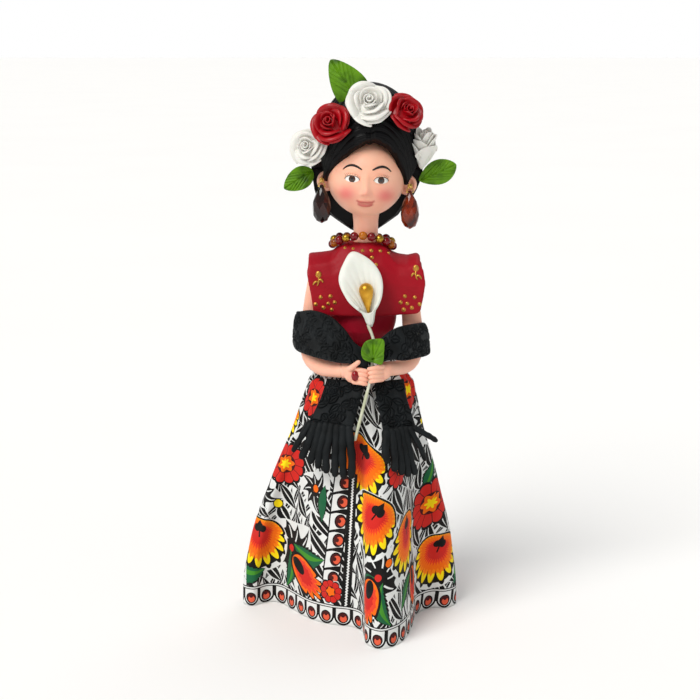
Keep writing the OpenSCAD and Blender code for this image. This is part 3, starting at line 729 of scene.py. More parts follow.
    # motifs from the lowest layer to the top one, each with its place and size
    layers = (
        (spray, [(-43, 34, 150, 22, 9), (31, 36, 165, 21, 9), (-22, 70, 20, 14, 8, ORANGE),
                 (66, 30, 180, 20, 9), (60, 104, 0, 15, 8, YELLOW), (-62, 66, 90, 15, 9, YELLOW)]),
        (leaf, [(-41, 37, -84, 26, 0.2, 0.6), (-44, 33, 12, 22, 0.17, -0.6),
                (-14, 74, 8, 20, 0.13, 0.2, PINE, PINE), (34, 34, -18, 24, 0.17, 0.8),
                (29, 36, 62, 12, 0.2, 0.3), (76, 84, 0, 17, 0.2, 0.3), (84, 84, 0, 17, 0.2, -0.3),
                (66, 30, 50, 22, 0.17, 0.6)]),
        (bird, [(-42, 30, -58, 30), (27, 35, 8, 25, 0.62), (68, 32, -30, 26)]),
        (fan, [(9, 94, 20, 22), (23, 67, 28, 21), (53.5, 54, 0, 19, 1.05, 17), (100.5, 34, 0, 19),
               (-64, 42, 8, 20), (-48, 112, 20, 16)]),
        (leaf, [(-86, 22, -85, 24, 0.2, 0.6)]),
        (daisy, [(84.5, 59, 13.8), (36, 88, 10, 10), (-44, 82, 12, 12, 10), (-25, 121, 11, 11),
                 (40, 122, 11, 11)]),
        (dot, [(-51, 58, 2.4, YELLOW), (-21, 71, 2.0, ORANGE), (36, 43, 2.0, ORANGE)]),
    )
    for motif, places in layers:
        for place in places:
            col = motif(col, *place)

    # straight column of cells, and the ribbon beside it
    u = s - (t - 78) * 0.143 + 4
    pitch = 10.2
    cell = ((t / pitch).mod(1) - 0.5) * 2
    a = u / 4.4
    side = a.abs()
    top = t < 84
    inside = (side < 1.14) * (t > 24) * top
    col = net.mix(inside, col, BLACK)
    ground = (side < 0.96) * (t > 24) * top
    col = net.mix(ground, col, WHITE)
    scoop = ((t / pitch + a * a * 0.07 - a * 0.05).mod(1) - 0.5).abs() * 2
    col = net.mix(ground * (scoop > 0.86 - (a + 0.2).max(0) * 0.16), col, BLACK)
    ring = net.length(a - 0.34, cell)
    col = net.mix(ground * (ring < 0.72), col, BLACK)
    moon = net.length(a - 0.5, cell + 0.06)
    col = net.mix(ground * (ring < 0.58), col, MAROON)
    notch = net.length(a - 0.22, cell)
    col = net.mix(ground * (moon < 0.44) * (ring < 0.58) * (notch > 0.22), col, SALMON)
    r = s - (t - 68) * 0.073 - 0.9
    band = (r.abs() < 2.6) * (t < 82)
    col = net.mix(band, col, BLACK)
    zig = ((t / 1.5).mod(1) - 0.5).abs() * 1.3 - 0.33
    col = net.mix(((r - zig).abs() < 0.55) * band, col, WHITE)
    col = daisy(col, -11.6, 18, 6.2, 9, 0, ORANGE)

    # scalloped border at the hem
    b = (t - 5.0) / 4.9
    a = ((s0 / 9.6).mod(1) - 0.5) * 2
    low = b < 1.22
    col = net.mix(low, col, BLACK)
    col = net.mix(low * ((b - 1.03).abs() < 0.07), col, WHITE)
    cup = net.length(a, b.min(0))
    col = net.mix((cup < 0.78) * (b < 0.86), col, WHITE)
    col = net.mix((b < -0.25) * (cup > 1.0), col, WHITE)
    ring = net.length(a, b + 0.12)
    moon = net.length(a - 0.05, b + 0.24)
    col = net.mix(ring < 0.62, col, BLACK)
    col = net.mix(ring < 0.5, col, MAROON)
    notch = net.length(a, b - 0.14)
    col = net.mix((moon < 0.38) * (ring < 0.5) * (notch > 0.24), col, SALMON)

    # woven cotton: fine threads in both directions, with painted shade in the grooves between them and noise
    # dust on top
    weave = (s0 * 14).sin().abs() * 0.5 + (t * 14).sin().abs() * 0.5
    dust = net.noise(120, 3)
    # grey mixed in where the weave is low is painted shade between the threads; the noise part is dust
    thread_shade_and_dust = net.map(weave, 0, 0.6, 0.12, 0) + net.map(dust, 0.45, 0.8, 0, 0.1)
    net.set(colour=net.mix(thread_shade_and_dust, col, rgb(96, 92, 88)), rough=net.map(weave, 0.2, 0.9, 0.82, 0.7),
            sheen=0.04, sheen_rough=0.5, specular=0.15)
    net.bump(weave, 0.25, 0.0002)
    return net.mat


M_PRINT = printed_cotton()


def plain_cotton():
    net = Net("skirt_lining")
    weave = net.noise(1400, 2)
    net.set(colour=net.mix(net.map(weave, 0.3, 0.7, 0, 0.4), rgb(206, 206, 200), rgb(160, 158, 150)),
            rough=0.85)
    net.bump(weave, 0.3, 0.0002)
    return net.mat


M_LINING = plain_cotton()


# ---------------------------------------------------------------- skirt

HEM = [
    (-63, 6), (-63.5, -1), (-58, -4.5), (-51, 1), (-44, 0), (-36, -11), (-27, -23.5), (-16, -31.5), (-5, -35),
    (0.5, -42), (2.5, -58), (9.5, -65), (17.5, -60), (23, -49), (27, -32), (29.5, -17), (37, -8), (46, -7.5),
    (51.5, -1), (50, 9), (43, 17), (41, 27), (42, 38), (34, 46), (24, 43), (14, 42), (6, 50), (-6, 52),
    (-15, 45), (-25, 42), (-36, 45), (-44, 38), (-46, 28), (-52, 20), (-60, 14),
]


def skirt():
    steps = 15
    hem = spline(HEM, steps, True)
    n = len(hem)
    k = np.arange(n)
    a = np.radians(174 + 360 * k / n)
    levels = np.concatenate([np.linspace(142.5, 120, 16)[:-1], np.linspace(120, 0.2, 84)])
    rows = []
    for z in levels:
        g = 0 if z > 128 else math.sin(math.radians(90 * (128 - z) / 128)) ** 1.3
        r = 27 if z < 124 else 10.8 + 16.2 * ((142.5 - z) / 18.5) ** 0.8
        sq = 1 if z < 124 else 1 - 0.14 * (z - 124) / 18.5
        # small gathers near the waist fade into the big folds below
        w = 0.55 * float(step(60, 128, z)) * (1 - float(step(139, 142.5, z)) * 0.6)
        pleat = w * (np.sin(26 * a + 0.8 * np.sin(3 * a)) + 0.4 * np.sin(41 * a + 1.3))
        ring = (1 - g) * (r + pleat)[:, None] * np.stack([np.cos(a), sq * np.sin(a)], 1) + g * hem
        rows.append(np.c_[ring, np.full(n, z)])
    g = np.array(rows)
    # slow hand-made unevenness
    out = units(g[:, :, :2] - g[:, :, :2].mean(1, keepdims=True))
    z = g[:, :, 2]
    wob = 0.35 * np.sin(z * 0.11 + 5 * a) * np.sin(z * 0.07 + 9 * a + 1) * step(0, 10, z)
    g[:, :, :2] += out * wob[:, :, None]
    tangent = np.roll(g, -1, 1) - np.roll(g, 1, 1)
    tangent[:, :, 2] = 0
    tangent = units(tangent)
    inward = np.stack([-tangent[:, :, 1], tangent[:, :, 0], np.zeros_like(z)], -1)
    thick = 1.1 * np.ones_like(z) + 0.35 * (z < 2.5)
    inner = g + inward * thick[:, :, None]
    # length along the sheet from the front ribbon, and up from the hem
    d = np.linalg.norm(np.roll(g, -1, 1) - g, axis=2)
    cum = np.concatenate([np.zeros((len(g), 1)), np.cumsum(d, 1)], 1)
    total = cum[:, -1:]
    k0 = 8 * steps  # the front ribbon runs up from this point of the hem
    drops = np.linalg.norm(np.diff(g, axis=0), axis=2)
    t = np.concatenate([np.cumsum(drops[::-1], 0)[::-1], np.zeros((1, n))], 0)
    # the sheet is joined at the back, so the grid is opened there
    seam = (k0 + n // 2) % n
    order = np.r_[seam:n, 0:seam + 1]
    s = np.concatenate([cum[:, seam:n] - total, cum[:, 0:seam + 1]], 1) - cum[:, k0:k0 + 1]
    uv = np.stack([s, np.concatenate([t[:, seam:], t[:, :seam + 1]], 1)], -1) * 0.01
    parts = Parts()
    add_shell(parts, g[:, order], inner[:, order], uv=uv, mat_in=1)
    o = make("skirt_sheet", parts, [M_PRINT, M_LINING], replaces=("skirt",), welded=False)
    weld(o.data, 1e-6, False)
    shade(o.data)
    area = float((d[:-1] * drops).sum()) * 1e-6
    print("skirt area m2", round(area, 5), "hem length mm", round(float(total[-1, 0]), 1))


skirt()


# ---------------------------------------------------------------- torso and blouse

def torso():
    half = spline([(6.4, 134), (6.9, 140), (8.4, 143.4), (12.4, 147), (15.6, 151.5), (17.4, 156), (17.6, 162),
                   (16.4, 170), (15, 178), (14.2, 184), (12, 189), (9.4, 192.5), (7, 194.5)], 6)
    n = 96
    a = full_turn(n)
    rows = []
    for r, z in half:
        x = 2 - 1.2 * float(step(145, 156, z)) * float(step(180, 166, z)) + r * np.cos(a)
        y = -0.3 + 0.8 * min(r, 15.8) * np.sin(a)
        # a pressed seam from the blouse down to the waist, in a V
        for s in (-1, 1):
            seam = 2 + s * (z - 141) * 0.34
            crease = np.where(np.sin(a) < 0, 0.45 * np.exp(-((x - seam) / 0.45) ** 2), 0)
            y = y + crease * float(step(140, 146, z))
        rows.append(np.stack([x, y, np.full(n, z)], 1))
    g = np.array(rows)
    inner = g.copy()
    inner[:, :, 0] = 2 + 1.6 * np.cos(a)
    inner[:, :, 1] = 1.6 * np.sin(a)
    parts = Parts()
    add_shell(parts, g, inner, True)
    make("bodice_body", parts, M_BODICE, replaces=("bodice",))


def blouse():
    collar = Parts()
    n = 64
    a = full_turn(n)
    outer = [(6.7, 198.6), (8.4, 198.0), (10.4, 196.4), (12.2, 194.4), (13.2, 192)]
    inner = [(6.7, 195.6), (8.0, 195.0), (9.6, 193.4), (11.0, 191.6), (12.0, 190)]
    grids = [np.array([np.stack([2.4 + r * np.cos(a), -1.4 + 0.92 * r * np.sin(a), np.full(n, z)], 1)
                       for r, z in rows]) for rows in (outer, inner)]
    add_shell(collar, grids[0], grids[1], True)

    def soften(p):
        x, y, z = p.T
        # shallow dents of a sheet shaped by hand
        d = 0.35 * np.sin(x * 0.22 + 1) * np.sin(z * 0.19) + 0.25 * np.sin(x * 0.5 + z * 0.3)
        # sleeves round over from front to back
        p[:, 2] -= 5.4 * (np.abs(y) / 13) ** 2 * step(168, 194, z) * step(8, 18, np.abs(x - 2))
        p[:, 1] += np.where(y < 0, 1, -1) * d * 0.5
        return p

    fused("blouse_sheet", collar, 0.42, 44, M_BLOUSE, "huipil",
          source=NODES["huipil"].data, edit=soften)


torso()
blouse()


def front_of(name, points, out=0.0):
    """Place and surface normal where each point, moved back from the front, meets a finished piece."""
    piece = bpy.data.objects[name].evaluated_get(bpy.context.evaluated_depsgraph_get())
    hits = []
    for x, z in points:
        ok, at, normal, _ = piece.ray_cast(Vector((x * MM, -0.2, z * MM)), Vector((0, 1, 0)))
        if ok:
            hits.append((np.array(at) / MM + np.array(normal) * out, np.array(normal)))
    return hits


def gold_dots():
    corner = [(-6.4, 0.2), (-3.8, 3.8), (-2.4, -1.6), (0, 0.6), (1.2, 4.4), (3.4, 1.2), (1.8, -2.6)]
    neck = [(-12.6, 195), (-8.4, 195.6), (-4.2, 195.3), (0.6, 194.6), (5.2, 194.6), (9.8, 194.2), (14, 193),
            (5.4, 191), (7.6, 187.6)]
    places = [(x - 17, z + 167) for x, z in corner] + [(23.5 - x, z + 167) for x, z in corner] + neck
    shape = [(0.0, -0.5), (1.2, -0.4), (1.25, 0.02), (1.05, 0.16), (0.82, 0.14), (0.74, 0.34), (0.5, 0.56),
             (0.2, 0.66), (0.0, 0.68)]
    parts = Parts()
    for i, (at, normal) in enumerate(front_of("blouse_sheet", places)):
        r = (0.85 if i < 2 * len(corner) else 0.75) * (0.9 + 0.2 * random.random())
        add_revolve(parts, [(r * wide, high) for wide, high in shape], at, normal, 20)
    make("gold_dots_painted", parts, M_GOLD, replaces=("gold_dots",))


def gold_sprigs():
    """A small gold flower with a stem and two leaves on each sleeve."""
    strokes = [
        ([(0.3, 0.9), (0.5, -0.6), (0.3, -2.1), (-0.3, -3.6)], 0.5),
        ([(0.4, -0.7), (1.4, -0.5), (2.2, -1.0), (2.7, -1.9)], 0.62),
        ([(0.2, -1.9), (-0.9, -1.6), (-1.9, -2.2), (-2.5, -3.2)], 0.62),
    ]
    parts = Parts()
    for side, cx, cz in ((1, -22.2, 180.4), (-1, 28.2, 183.4)):
        for points, w in strokes:
            path = along(spline([(side * x * 0.95, z * 0.95) for x, z in points], 6), 26)
            hits = front_of("blouse_sheet", [(cx + x, cz + z) for x, z in path], 0.12)
            taper = w * (0.45 + 0.55 * np.sin(np.linspace(0.15, math.pi - 0.1, len(hits))))
            add_tube(parts, [at for at, _ in hits], taper, 10)
        for at, _ in front_of("blouse_sheet", [(cx + side * 0.3, cz + 1.9)]):
            add_ball(parts, at, 1.75, 14, squash=(0.9, 0.42, 1.1))
            for k in range(5):
                turn = 0.6 + k * 1.25
                add_ball(parts, at + arr(0.8 * math.cos(turn), -0.62, 0.95 * math.sin(turn)), 0.34, 8)
    make("gold_scrolls_painted", parts, M_GOLD, replaces=("gold_scrolls",))


gold_dots()
gold_sprigs()


# ---------------------------------------------------------------- head and face

HEAD, HEAD_R = arr(2.5, -3, 231), 19.8
TILT = math.radians(3)


def tilt_point(p):
    x, y, z = p[..., 0], p[..., 1], p[..., 2]
    c, s = math.cos(TILT), math.sin(TILT)
    return np.stack([x * c + z * s, y, -x * s + z * c], -1) + HEAD


def face_point(x, z, out=0.0):
    """Points of the face at x and z from its centre before the head's tilt, on the sphere plus out."""
    r = HEAD_R + out
    y = -np.sqrt(np.maximum(r * r - x * x - z * z, 0.01))
    return tilt_point(np.stack(np.broadcast_arrays(x, y, z), -1))


def head():
    bm = bmesh.new()
    bmesh.ops.create_icosphere(bm, subdivisions=6, radius=1)
    me = bpy.data.meshes.new("head_skin")
    bm.to_mesh(me)
    bm.free()
    co = np.zeros(len(me.vertices) * 3)
    me.vertices.foreach_get("co", co)
    d = co.reshape(-1, 3)
    p = d * HEAD_R
    x, y, z = p.T
    ax = np.abs(x)
    front = step(2, -8, y)
    h = 0.9 * bump(x, z, 0, -16.4, 4.2, 2.6)
    h += 1.0 * np.exp(-(x / 1.5) ** 2) * step(-7, -4.5, z) * step(5.5, -1, z)
    h += 2.1 * bump(x, z, 0, -5.9, 1.8, 1.5)
    h += 0.9 * bump(ax, z, 2.1, -6.5, 1.0, 0.9)
    h -= 0.7 * bump(ax, z, 1.1, -7.7, 0.6, 0.4)
    h -= 0.75 * bump(ax, z, 7.3, 0.4, 3.4, 2.2)
    h += 0.4 * bump(ax, z, 7.4, 5.4, 4.4, 1.6)
    h += 0.9 * bump(ax, z, 8.6, -7, 4.6, 4.2)
    h -= 0.2 * bump(x, z, 0, -9.1, 0.55, 0.9)
    zm = -11.5 + 0.03 * x ** 2
    h += 0.7 * np.exp(-((z - (zm + 0.85 - 0.05 * ax)) / 0.75) ** 2) * step(4.9, 2.6, ax)
    h += 0.85 * np.exp(-((z - (zm - 1.05)) / 0.85) ** 2) * step(4.2, 1.6, ax)
    h -= 0.55 * np.exp(-((z - zm) / 0.26) ** 2) * step(5.0, 4.0, ax)
    h -= 0.3 * bump(x, z, 0, -14.3, 2.6, 0.8)
    p = p + d * (h * front)[:, None]
    # a slightly narrower forehead and softer jaw than a plain ball
    p[:, 0] *= 1 - 0.035 * step(4, 18, z) - 0.03 * step(-8, -19, z)
    p = tilt_point(p)
    me.vertices.foreach_set("co", (p * MM).ravel())
    blush = (0.85 * bump(ax, z, 9.6, -7.0, 4.6, 3.8) + 0.25 * bump(x, z, 0, -5.8, 2.2, 1.6)) * front
    lips = np.clip(np.exp(-((z - (zm + 0.75 - 0.05 * ax)) / 0.7) ** 4) * step(4.9, 4.2, ax)
                   + np.exp(-((z - (zm - 0.95)) / 0.85) ** 4) * step(4.4, 3.4, ax), 0, 1) * front * 0.8
    att = me.color_attributes.new("Tint", "FLOAT_COLOR", "POINT")
    att.data.foreach_set("color", np.stack([blush, lips, np.zeros_like(x), np.ones_like(x)], 1).ravel())
    me.materials.append(M_FACE)
    shade(me)
    dress(new_object("head_skin", me), "doll", ("head",))


head()


EYE_X, EYE_Z = 7.3, 0.3
EYE_WIDE, EYE_UP, EYE_LOW = 3.5, 2.0, 1.45


def lid_arc(w):
    """Height of a lid's curve, 1 in the middle and 0 at both corners."""
    return np.sqrt(np.clip(1 - np.abs(w) ** 2.2, 0, 1))


def eyeball(word, cx):
    v, w = np.meshgrid(np.linspace(-1, 1, 13), np.linspace(-1, 1, 31), indexing="ij")
    x = w * EYE_WIDE
    z = np.where(v > 0, v * EYE_UP, v * EYE_LOW) * lid_arc(w)
    rise = 0.25 + 0.75 * np.sqrt(np.clip(1 - (x / 3.9) ** 2 - (z / 2.6) ** 2, 0, 1))
    outer = face_point(cx + x, EYE_Z + z, -0.75 + rise)
    inner = face_point(cx + x * 0.96, EYE_Z + z * 0.96, -2.2)
    parts = Parts()
    add_shell(parts, outer, inner, uv=np.stack([x * 0.1, (z - 0.15) * 0.1], -1))
    make(f"eye_{word}_painted", parts, M_EYE, replaces=(f"eye_{word}",), welded=False)


def lids_and_lashes(word, cx, side):
    reach = 1.06
    w = np.linspace(-reach, reach, 25)
    x, arc = cx + w * EYE_WIDE, lid_arc(w / reach)
    taper = 0.22 + 0.42 * np.sqrt(np.clip(1 - (w / reach) ** 2, 0, 1))
    lids = Parts()
    add_tube(lids, face_point(x, EYE_Z + arc * EYE_UP + 0.28), taper, 12)
    add_tube(lids, face_point(x, EYE_Z - arc * EYE_LOW - 0.14, -0.25), taper * 0.62, 12)
    make(f"eyelids_{word}", lids, M_FACE)
    lashes = Parts()
    line = 0.1 + 0.1 * np.sin(np.linspace(0, math.pi, 25))
    add_tube(lashes, face_point(x, EYE_Z + arc * EYE_UP - 0.12, 0.3), line, 8)
    t = np.linspace(0, 1, 7)
    for k in range(8):
        f = -0.75 + 1.6 * k / 7
        out, up = 0.35 + 1.3 * max(0, f), 1.1 + 0.5 * max(0, f)
        foot_x = cx + side * f * EYE_WIDE
        foot_z = EYE_Z + math.sqrt(max(1 - abs(f) ** 2.2, 0)) * EYE_UP - 0.05
        lash = face_point(foot_x + side * out * t * t * 0.9, foot_z + up * t ** 1.2,
                          0.32 + 0.75 * t * (1.4 - t))
        add_tube(lashes, lash, np.linspace(0.085, 0.03, 7), 6)
    make(f"lashes_{word}", lashes, M_BROW)


def eyebrow(word, side):
    x, z = along(spline([(2.9, 5.5), (5.2, 6.7), (7.8, 7.2), (10.2, 6.4), (12.0, 4.9)], 6), 30).T
    r = 0.2 + 0.42 * np.sin(np.linspace(0.25, math.pi - 0.06, 30)) ** 0.8
    parts = Parts()
    add_tube(parts, face_point(side * x, z, 0.22), r, 12)
    make(f"brow_{word}", parts, M_BROW, replaces=(f"eyebrow_{word}",))


for side, word in ((-1, "left"), (1, "right")):
    eyeball(word, side * EYE_X)
    lids_and_lashes(word, side * EYE_X, side)
    eyebrow(word, side)


def ears():
    shape = spline([(0, 0.3), (1.2, 0.2), (2.2, 0.6), (2.8, 1.3), (3.2, 2.1), (3.6, 2.6), (4.1, 2.7),
                    (4.6, 2.4), (4.9, 1.7), (4.95, 0.8), (4.7, -0.2), (4.0, -1.1), (2.6, -1.6), (0, -1.7)], 4)
    for word, c, tilt in (("left", (-17.8, -2, 229.2), -8), ("right", (23.4, -2, 227.2), 10)):
        parts = Parts()
        add_revolve(parts, shape, (0, 0, 0), (0, -1, 0), 56)
        v = parts.v[0]
        side = -1 if word == "left" else 1
        # a little taller than wide, with an inner fold and a soft lobe
        v[:, 2] *= 1.06
        rr = np.hypot(v[:, 0], v[:, 2])
        fold = bump(v[:, 0] * side, v[:, 2], 0.6, 0.8, 1.3, 2.2) * (v[:, 1] < 0)
        v[:, 1] -= 0.7 * fold
        v[:, 1] -= 0.5 * bump(v[:, 0] * side, v[:, 2], -2.4, -2.6, 1.4, 1.4) * (rr > 1)
        a = math.radians(tilt)
        x, z = v[:, 0].copy(), v[:, 2].copy()
        v[:, 0], v[:, 2] = x * math.cos(a) + z * math.sin(a), -x * math.sin(a) + z * math.cos(a)
        v += np.array(c)
        make(f"ear_{word}_skin", parts, M_SKIN, replaces=(f"ear_{word}",))


ears()


def neck():
    parts = Parts()
    prof = spline([(6.9, 194.5), (6.55, 196.5), (6.35, 200), (6.35, 206), (6.6, 210), (7.2, 213.5)], 5)
    add_revolve(parts, prof, (2.4, -1, 0), (0, 0, 1), 64,
                wave=lambda a, i: 1 + 0.012 * np.sin(3 * a + 0.2 * i))
    make("neck_skin", parts, M_SKIN, replaces=("neck",))


neck()


# ---------------------------------------------------------------- hair

HAIR_X, HAIR_Y, HAIR_Z = 4, 3, 246
HAIR_WIDE, HAIR_DEEP, HAIR_HIGH = 27, 25, 33


def strand(v, count, sharp=0.55):
    """Height of rounded strands side by side, 1 on their backs and 0 in the grooves."""
    return np.abs(np.sin(math.pi * v * count)) ** sharp


def lock(side):
    """Hair swept from the parting to one side. side is -1 for left and 1 for right."""
    if side < 0:
        word = "left"
        edge = [(4.6, 253), (0.5, 251), (-5.5, 247.6), (-10.6, 243), (-14.8, 237.4), (-17.6, 231.5),
                (-18.6, 227)]
    else:
        word = "right"
        edge = [(4.6, 253), (9, 252.2), (14.5, 249), (18.6, 244), (21.4, 238.2), (23, 232), (23.4, 227.4)]
    back = [(HAIR_X + side * 25.2 * math.sin(t), HAIR_Z + 30.8 * math.cos(t))
            for t in np.linspace(0, 1.95, 9)]
    m, n = 120, 150
    e = along(spline(edge, 8), m)
    b = along(spline(back, 8), m)
    vv = np.linspace(0, 1, n)
    x = e[:, None, 0] * (1 - vv) + b[:, None, 0] * vv
    z = e[:, None, 1] * (1 - vv) + b[:, None, 1] * vv
    uu = np.linspace(0, 1, m)[:, None] * np.ones(n)
    q = np.clip(1 - ((x - HAIR_X) / HAIR_WIDE) ** 2 - ((z - HAIR_Z) / HAIR_HIGH) ** 2, 0.0, 1)
    y = HAIR_Y - HAIR_DEEP * np.sqrt(q)
    p = np.stack([x, y, z], -1)
    d = p - HEAD
    r = np.linalg.norm(d, axis=2)
    curl = step(0.0, 0.08, vv)[None, :]
    least = 19.6 + 2.6 * curl
    d = d / r[..., None]
    r = np.maximum(r, least)
    wave = vv[None, :] + 0.018 * np.sin(7 * uu + 3) + 0.012 * np.sin(15 * uu + 9 * vv[None, :])
    locks = strand(wave, 6.5)
    fine = strand(wave + 0.01 * np.sin(11 * uu), 26, 0.8)
    r = r + (locks - 1) * 0.95 * (0.25 + 0.75 * curl) + (fine - 1) * 0.16
    # thick rounded roll where the hair meets the parting
    r = r - 1.3 * step(0.07, 0.0, uu) * (1 - 0.3 * vv[None, :])
    outer = HEAD + d * r[..., None]
    inner = HEAD + d * np.minimum(r - 1.5, np.maximum(19.3, r - 4.0))[..., None]
    parts = Parts()
    add_shell(parts, outer, inner)
    make(f"hair_lock_{word}_strands", parts, M_HAIR, replaces=(f"hair_lock_{word}",))


def hair_back():
    n = 260
    a = full_turn(n)
    crown = HAIR_Z + HAIR_HIGH * np.cos(np.linspace(0.04, 1.3, 70))
    rows = []
    for z in np.concatenate([crown, np.linspace(236.5, 219.4, 50)[1:]]):
        f = math.sqrt(max(1 - ((z - HAIR_Z) / HAIR_HIGH) ** 2, 0))
        low = float(step(252, 238, z))
        side = float(np.interp(z, [217, 224, 232, 239, 252], [23.6, 26.6, 28.8, 29.0, 28.0]))
        rx = HAIR_WIDE * f * (1 - low) + low * side
        t = max(0, (237 - z) / 17.6)
        ry = 24 * (1 - 0.26 * t ** 1.4) * math.sqrt(max(1 - max(t - 0.8, 0) ** 2 * 8, 0.3))
        if z > 237:
            ry = HAIR_DEEP * f
        flow = a / (2 * math.pi) + 0.004 * np.sin(z * 0.12 + 5 * a)
        groove = (strand(flow, 22) - 1) * 0.9 + (strand(flow + 0.003, 88, 0.8) - 1) * 0.15
        groove = groove * step(279, 270, z)
        x = HAIR_X - 1.0 * low - 1.4 * step(232, 217, z) + (rx + groove) * np.cos(a)
        y = HAIR_Y + (ry + groove) * np.sin(a)
        y = np.maximum(y, -6.0 if z > 238.5 else 4 - 10 * step(234, 238.5, z))
        rows.append(np.stack([x, y, np.full(n, z)], 1))
    parts = Parts()
    add_capped(parts, np.array(rows))
    make("hair_back_strands", parts, M_HAIR, replaces=("hair_back",))


def hair_nape():
    n = 160
    a = full_turn(n)
    rows = []
    for z in np.linspace(224, 202.6, 44):
        t = (224 - z) / 21.4
        rx = float(np.interp(z, [202, 203, 206, 210.6, 217, 224], [4.5, 7.0, 11.5, 18.0, 22.5, 24.0]))
        ry = 14.2 - 9.0 * t ** 1.05
        groove = (strand(a / (2 * math.pi) + 0.006 * math.sin(z * 0.3), 18) - 1) * 0.7
        x = 1.5 + (rx + groove) * np.cos(a)
        y = np.maximum(8.6 - 0.6 * t + (ry + groove) * np.sin(a), 4.2)
        rows.append(np.stack([x, y, np.full(n, z)], 1))
    parts = Parts()
    add_capped(parts, np.array(rows))
    make("hair_nape_strands", parts, M_HAIR, replaces=("hair_nape",))


lock(-1)
lock(1)
hair_back()
hair_nape()


# ---------------------------------------------------------------- roses

def rose(name, at, facing, r, mat, turn=0.0, tall=False):
    """Rose of rolled petals: a wound bud and rings of overlapping, curled petals. A tall one is seen
    from the side, on the point its petals grow from."""
    z = unit(facing)
    x = unit(np.cross(arr(0, 0, 1) if abs(z[2]) < 0.9 else arr(0, 1, 0), z))
    y = np.cross(z, x)
    parts = Parts()
    jig = random.Random(name)

    def place(p):
        return np.asarray(at) + r * (p[..., 0:1] * x + p[..., 1:2] * y + p[..., 2:3] * z)

    def petal(angle, reach, height, span, curl, low, close, tuck, point):
        m, n = 14, 23
        v = np.linspace(0, 1, m)[:, None] * np.ones(n)
        w = np.ones(m)[:, None] * np.linspace(-1, 1, n)
        top = 1 - (0.34 + point) * np.abs(w) ** 2.2 + point * (1 - np.abs(w))
        if tall:
            top = 1 - 0.4 * np.abs(w) ** 2.6
        rise = np.sin(v * math.pi / 2) ** 0.8
        rad = 0.1 + (reach - 0.1) * np.sin(np.minimum(v * 1.12, 1) * math.pi / 2) ** 0.85
        rad = rad * (1 + tuck * w) - close * v ** 2
        hz = low + (height - low) * rise * top
        tip = step(0.6, 1.0, v) * (1 - 0.55 * np.abs(w))
        rad = rad + curl * tip
        hz = hz - 0.75 * curl * tip ** 2
        rad = rad + 0.025 * np.sin(w * 3.1 + angle * 3) * v
        ang = angle + w * span / 2 * (0.5 + 0.5 * np.sin(v * math.pi / 2)) * (1 - 0.22 * v ** 3)
        p = np.stack([rad * np.cos(ang), rad * np.sin(ang), hz], -1)
        nn = units(np.cross(np.gradient(p, axis=1), np.gradient(p, axis=0)))
        edge = np.clip(1 - np.abs(w) ** 6, 0.3, 1) * np.clip(1 - v ** 10 * 0.5, 0.3, 1)
        half = nn * (0.075 * edge)[..., None] / 2
        add_shell(parts, place(p + half), place(p - half))

    # wound bud
    lift = 1.55 if tall else 0.0
    turns = np.linspace(0, 1.9 * 2 * math.pi, 84)
    f = turns / turns[-1]
    rad = 0.03 + 0.23 * f ** 0.9
    v = np.linspace(0, 1, 8)[:, None]
    top = 0.8 + lift - 0.12 * f + 0.03 * np.sin(turns * 1.7)
    low = 0.2 + lift * 0.6
    hz = low + (top - low) * v
    a = turns + turn
    out = rad + 0.05 * v ** 3
    p = np.stack([out * np.cos(a), out * np.sin(a), hz * np.ones_like(turns)], -1)
    out = out - 0.06
    q = np.stack([out * np.cos(a), out * np.sin(a), (hz - 0.015 * (v > 0.9)) * np.ones_like(turns)], -1)
    add_shell(parts, place(p), place(q))
    if tall:
        rings = ((3, 0.48, 2.3, 2.9, 0.0, 0.3, 0.06), (3, 0.62, 2.2, 3.0, 0.03, 0.2, 0.05),
                 (3, 0.74, 2.05, 3.0, 0.04, 0.1, 0.04), (3, 0.8, 1.75, 2.9, 0.05, 0.0, 0.03))
    else:
        rings = ((3, 0.38, 0.74, 2.7, 0.05, 0.02, 0.05), (3, 0.58, 0.64, 2.5, 0.10, 0.0, 0.02),
                 (4, 0.78, 0.50, 2.1, 0.16, 0.0, 0.0), (5, 0.90, 0.30, 1.75, 0.12, 0.0, 0.0))
    for ring, (count, reach, height, span, curl, low, close) in enumerate(rings):
        for k in range(count):
            a = turn + ring * 0.75 + 2 * math.pi * (k + 0.2 * jig.uniform(-1, 1)) / count
            petal(a, reach * jig.uniform(0.92, 1.07), height * jig.uniform(0.93, 1.06),
                  span * jig.uniform(0.92, 1.08), curl * jig.uniform(0.6, 1.4), low, close=close,
                  tuck=0.04 if tall else 0.08, point=jig.uniform(0.02, 0.2))
    # the pad the petals are pressed on
    pad = [(0, -0.02), (0.5, -0.02), (0.74, 0.02), (0.78, 0.12), (0.6, 0.3), (0.34, 0.4), (0, 0.44)]
    if tall:
        pad = [(0, -0.1), (0.12, 0.0), (0.34, 0.45), (0.52, 1.0), (0.5, 1.5), (0.3, 1.7), (0, 1.75)]
    add_revolve(parts, pad, (0, 0, 0), (0, 0, 1), 32)
    parts.v[-1] = place(parts.v[-1])
    make(name + "_petals", parts, mat, replaces=(name,), sub=1)


rose("rose_centre", (3.6, -16.6, 267.6), (0.0, -1, 0.6), 11.6, M_WHITE, 0.4)
rose("rose_left", (-14.4, -16.6, 257.8), (-0.4, -1, 0.5), 11.2, M_RED, 2.0)
rose("rose_right", (20.8, -14.0, 263.2), (0.6, -1, 0.7), 10.2, M_RED, 4.0)
rose("rose_far_left", (-25.6, -8.5, 246.6), (-0.45, -1, 0.25), 10.2, M_WHITE, 1.2)
rose("rose_far_right", (30.6, -4.4, 236.0), (0.06, -0.3, 1), 8.6, M_WHITE, 5.0, True)


# ---------------------------------------------------------------- leaves

